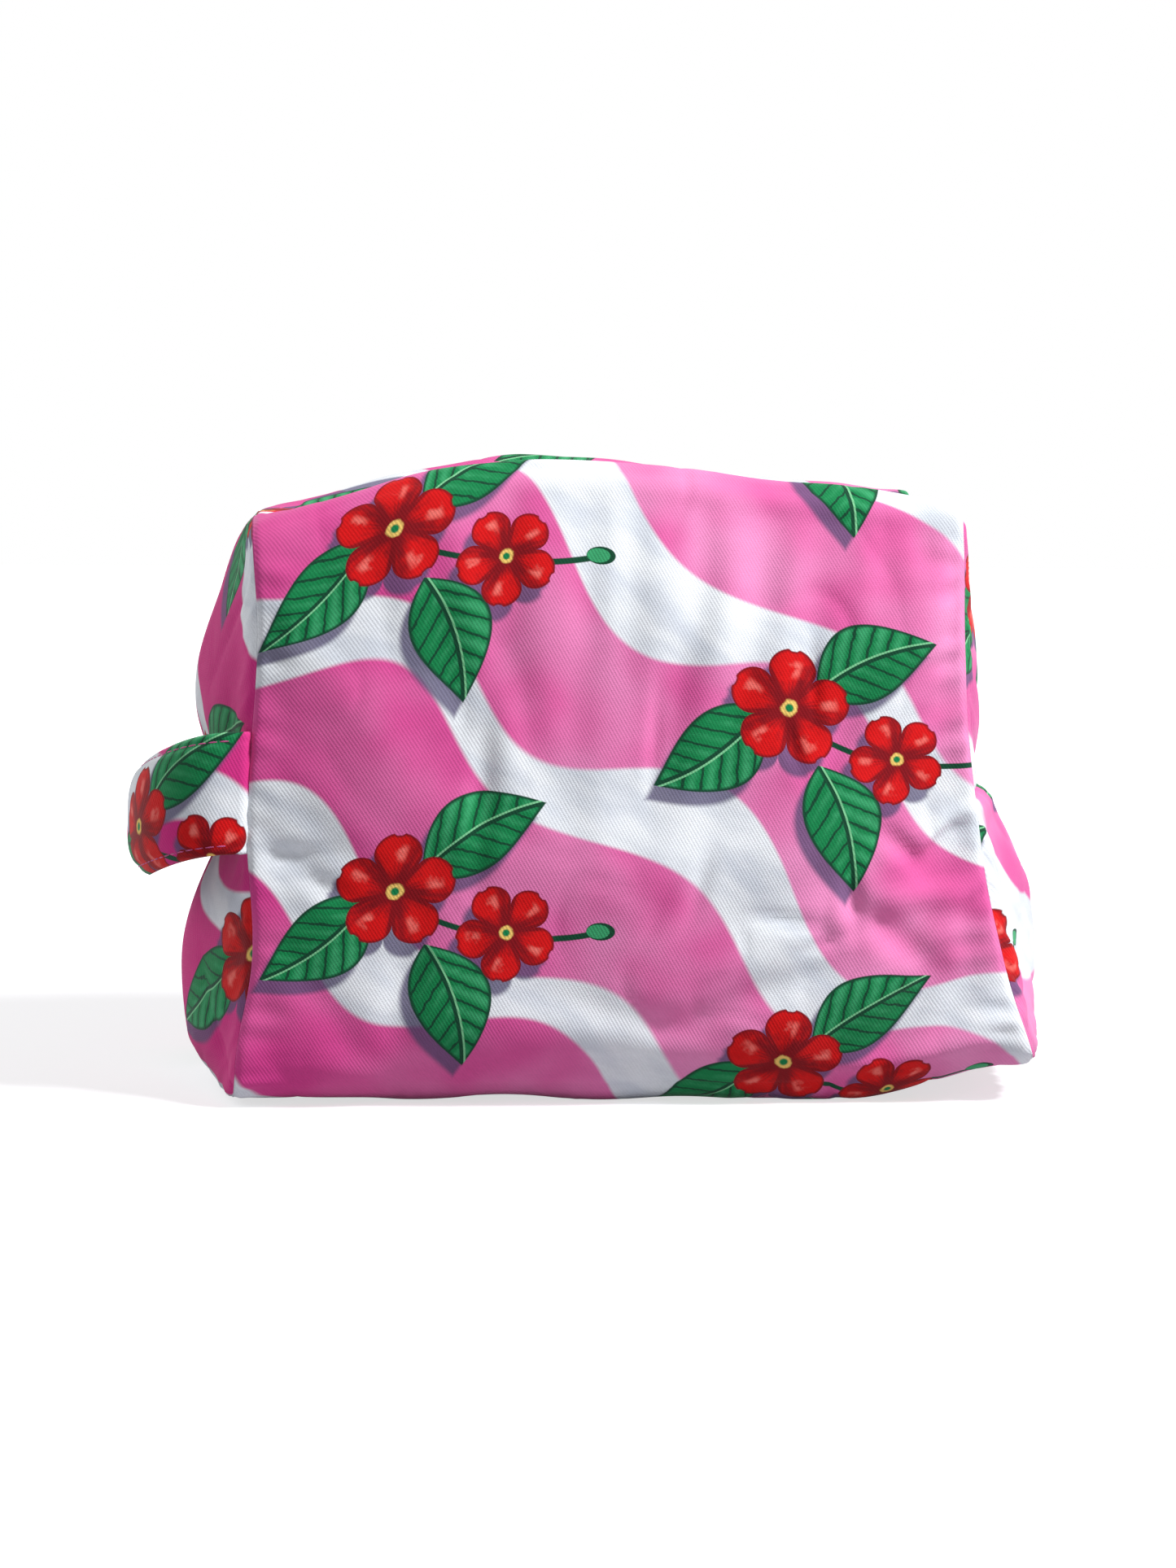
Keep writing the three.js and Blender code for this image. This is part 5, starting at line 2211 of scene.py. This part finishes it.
@dataclass
class Studio:
    """A pale floor, soft lamps and the camera at the photograph's place."""

    floor_size: float = 6.0
    key_power: float = 39.5
    key_size: float = 0.28
    key_place: tuple[float, float, float] = (1.02, -0.68, 1.43)
    fill_power: float = 10.0
    fill_size: float = 1.2
    fill_place: tuple[float, float, float] = (-1.25, 0.7, 0.85)
    aim_at: tuple[float, float, float] = (0.0, 0.0, 0.07)
    sky: float = 0.19
    near_glow: float = 0.66  # of the floor round the pouch, where its shadow falls
    far_glow: float = 1.0
    glow_reach: Pair = (220.0, 620.0)  # millimetres
    floor_colour: Colour = (182, 182, 186)
    azimuth: float = -4.0  # degrees
    elevation: float = 6.0
    distance: float = 0.95
    roll: float = 0.4
    target: tuple[float, float, float] = (-5 * MM, 0.0, 73 * MM)
    lens: float = 84.07  # millimetres
    sensor: float = 36.0  # millimetres
    clip: Pair = (0.02, 30.0)
    shift: Pair = (-0.01064, 0.00493)

    def build_floor(self) -> Piece:
        """Makes the floor, which looks white and keeps the pouch's shadow."""
        half = self.floor_size / 2
        mesh = bpy.data.meshes.new("studio_floor")
        corners = [(-half, -half, 0), (half, -half, 0), (half, half, 0), (-half, half, 0)]
        mesh.from_pydata(corners, [], [(0, 1, 2, 3)])
        floor = as_piece("studio_floor", mesh)
        floor.data.materials.append(self._floor_material())
        return floor

    def _seen(self, tree: NodeTree) -> NodeSocket:
        """1 for rays that show the background: straight, mirrored or through glass."""
        path = tree.nodes.new("ShaderNodeLightPath")
        seen = Shade(tree, path.outputs["Is Camera Ray"])
        seen = seen.most(Shade(tree, path.outputs["Is Glossy Ray"]))
        return seen.most(Shade(tree, path.outputs["Is Transmission Ray"])).socket

    def _floor_material(self) -> Material:
        """A matt pale floor that glows a little, but only where it is looked at."""
        bench = ShaderBench("pale_floor")
        bench.set(Base_Color=self.floor_colour, Roughness=0.9, Emission_Color=(255, 255, 255))
        x, y, _ = bench.spot()
        away = (x * x + y * y).power(0.5).rise(*self.glow_reach)
        glow = away * (self.far_glow - self.near_glow) + self.near_glow
        glow = Shade(bench.tree, self._seen(bench.tree)) * glow
        bench.tree.links.new(glow.socket, bench.shader.inputs["Emission Strength"])
        return bench.material

    def build_world(self) -> None:
        """Makes the even light all round, in front of a white background."""
        world = bpy.data.worlds.new("studio")
        bpy.context.scene.world = world
        world.use_nodes = True
        tree = world.node_tree
        background = tree.nodes["Background"]
        background.inputs["Color"].default_value = (1.0, 1.0, 1.0, 1.0)
        strength = Shade(tree, self._seen(tree)) * (1 - self.sky) + self.sky
        tree.links.new(strength.socket, background.inputs["Strength"])

    def build_lamp(self, name: str, power: float, size: float, place: Sequence[float]) -> None:
        """Hangs a soft square lamp that faces the pouch.

        Args:
            name: the lamp's name.
            power: in watts.
            size: side of the lamp, in metres.
            place: where it hangs.
        """
        light = bpy.data.lights.new(name, "AREA")
        light.energy = power
        light.size = size
        lamp = bpy.data.objects.new(name, light)
        bpy.context.scene.collection.objects.link(lamp)
        aim = Vector(self.aim_at) - Vector(place)
        lamp.location = place
        lamp.rotation_euler = aim.to_track_quat("-Z", "Y").to_euler()

    def build_camera(self) -> None:
        """Sets the camera where the photograph was taken from."""
        side, rise = math.radians(self.azimuth), math.radians(self.elevation)
        back = Vector((math.sin(side) * math.cos(rise), -math.cos(side) * math.cos(rise), math.sin(rise)))
        data = bpy.data.cameras.new("photo_camera")
        data.lens = self.lens
        data.sensor_width = self.sensor
        data.shift_x, data.shift_y = self.shift
        data.clip_start, data.clip_end = self.clip
        camera = bpy.data.objects.new("photo_camera", data)
        bpy.context.scene.collection.objects.link(camera)
        look = (-back).to_track_quat("-Z", "Y").to_matrix().to_4x4()
        tilt = Matrix.Rotation(math.radians(self.roll), 4, "Z")
        camera.matrix_world = Matrix.Translation(Vector(self.target) + back * self.distance) @ look @ tilt
        bpy.context.scene.camera = camera

    def build(self) -> None:
        """Makes the whole studio."""
        self.build_floor()
        self.build_world()
        self.build_lamp("key_lamp", self.key_power, self.key_size, self.key_place)
        self.build_lamp("fill_lamp", self.fill_power, self.fill_size, self.fill_place)
        self.build_camera()
        bpy.context.scene.view_settings.view_transform = "Standard"


# The whole pouch


# The x, z, angle, length, width and depth of each crease
CREASES = {
    Side.FRONT: (
        Crease(-39, 77, 86, 22, 4, 1.3),
        Crease(77, 66.5, 36, 9, 3.4, 3.2),
        Crease(64.5, 65, -39, 6.5, 3.4, 2.4),
        Crease(76, 62, 31, 12, 5, 1.2),
        Crease(72, 53, 4, 13, 4.5, -1.74),
        Crease(72, 74, 58, 16, 5, 1.74),
        Crease(62, 44, -38, 16, 5, 1.89),
        Crease(52, 53, 96, 9, 3, 1.59),
        Crease(37, 47, -10, 9, 2.6, 1.3),
        Crease(46, 42, 17, 8, 2.4, 1.16),
        Crease(48, 90, 62, 12, 5, 1.89),
        Crease(42, 105, 91, 9, 2.2, 1.01),
        Crease(37, 90, -70, 8, 2.4, 0.87),
        Crease(3, 92, 86, 11, 2, 1.01),
        Crease(14, 56, 72, 8, 3, 1.01),
        Crease(26, 28, 22, 22, 6, 1.59),
        Crease(4, 22, -14, 24, 6, 1.3),
        Crease(66, 9, 14, 14, 3, 1.3),
        Crease(-85, 63, 4, 9, 3, 1.74),
        Crease(-79, 57, -30, 14, 4, 1.3),
        Crease(-58, 30, 80, 18, 6, 1.16),
    ),
    Side.BACK: (
        Crease(30, 80, 94, 26, 6, 1.45),
        Crease(-64, 56, 14, 20, 7, 2.61),
        Crease(62, 40, 28, 20, 6, 2.17),
        Crease(-10, 30, -6, 30, 8, 1.74),
    ),
}


def build_pouch() -> list[Piece]:
    """Makes every piece of the pouch.

    Returns:
        The pieces, in the order they were made.
    """
    pieces: list[Piece] = []

    def add(make: Callable[[], Piece]) -> None:
        """Makes a piece and reports it."""
        piece = make()
        log.info("%s: %d faces", piece.name, len(piece.data.polygons))
        pieces.append(piece)

    lining = Lining()
    for side in Side:
        cloth = LongCloth(side, CREASES[side])
        add(cloth.build)
        add(ZipTopstitching(cloth).build)
        add(ZipTape(side).build)
        add(ZipTeeth(side).build)
        add(lambda: lining.long_cloth(side))
        add(SoftenedMetal(f"top_stop_{side.word}", f"{side.word}_top_stop", "pouch", STOP_EDGE).build)
    for end in End:
        for half in Half:
            add(EndCloth(end, half).build)
        add(lambda: lining.end_cloth(end))
    add(SoftenedMetal("bottom_stop", "bottom_stop_clip", "pouch", STOP_EDGE).build)
    add(SoftenedMetal("zip_slider", "slider_body", "slider").build)
    add(SoftenedMetal("zip_pull", "slider_pull", "pull").build)
    strap = CarryStrap()
    add(strap.build)
    add(strap.build_stitches)
    return pieces


def main() -> None:
    """Builds the pouch and its studio, and reports each piece."""
    logging.basicConfig(level=logging.INFO, format="%(name)s: %(message)s")
    pieces = build_pouch()
    Studio().build()
    log.info("%d pieces", len(pieces))


if __name__ == "__main__":
    main()
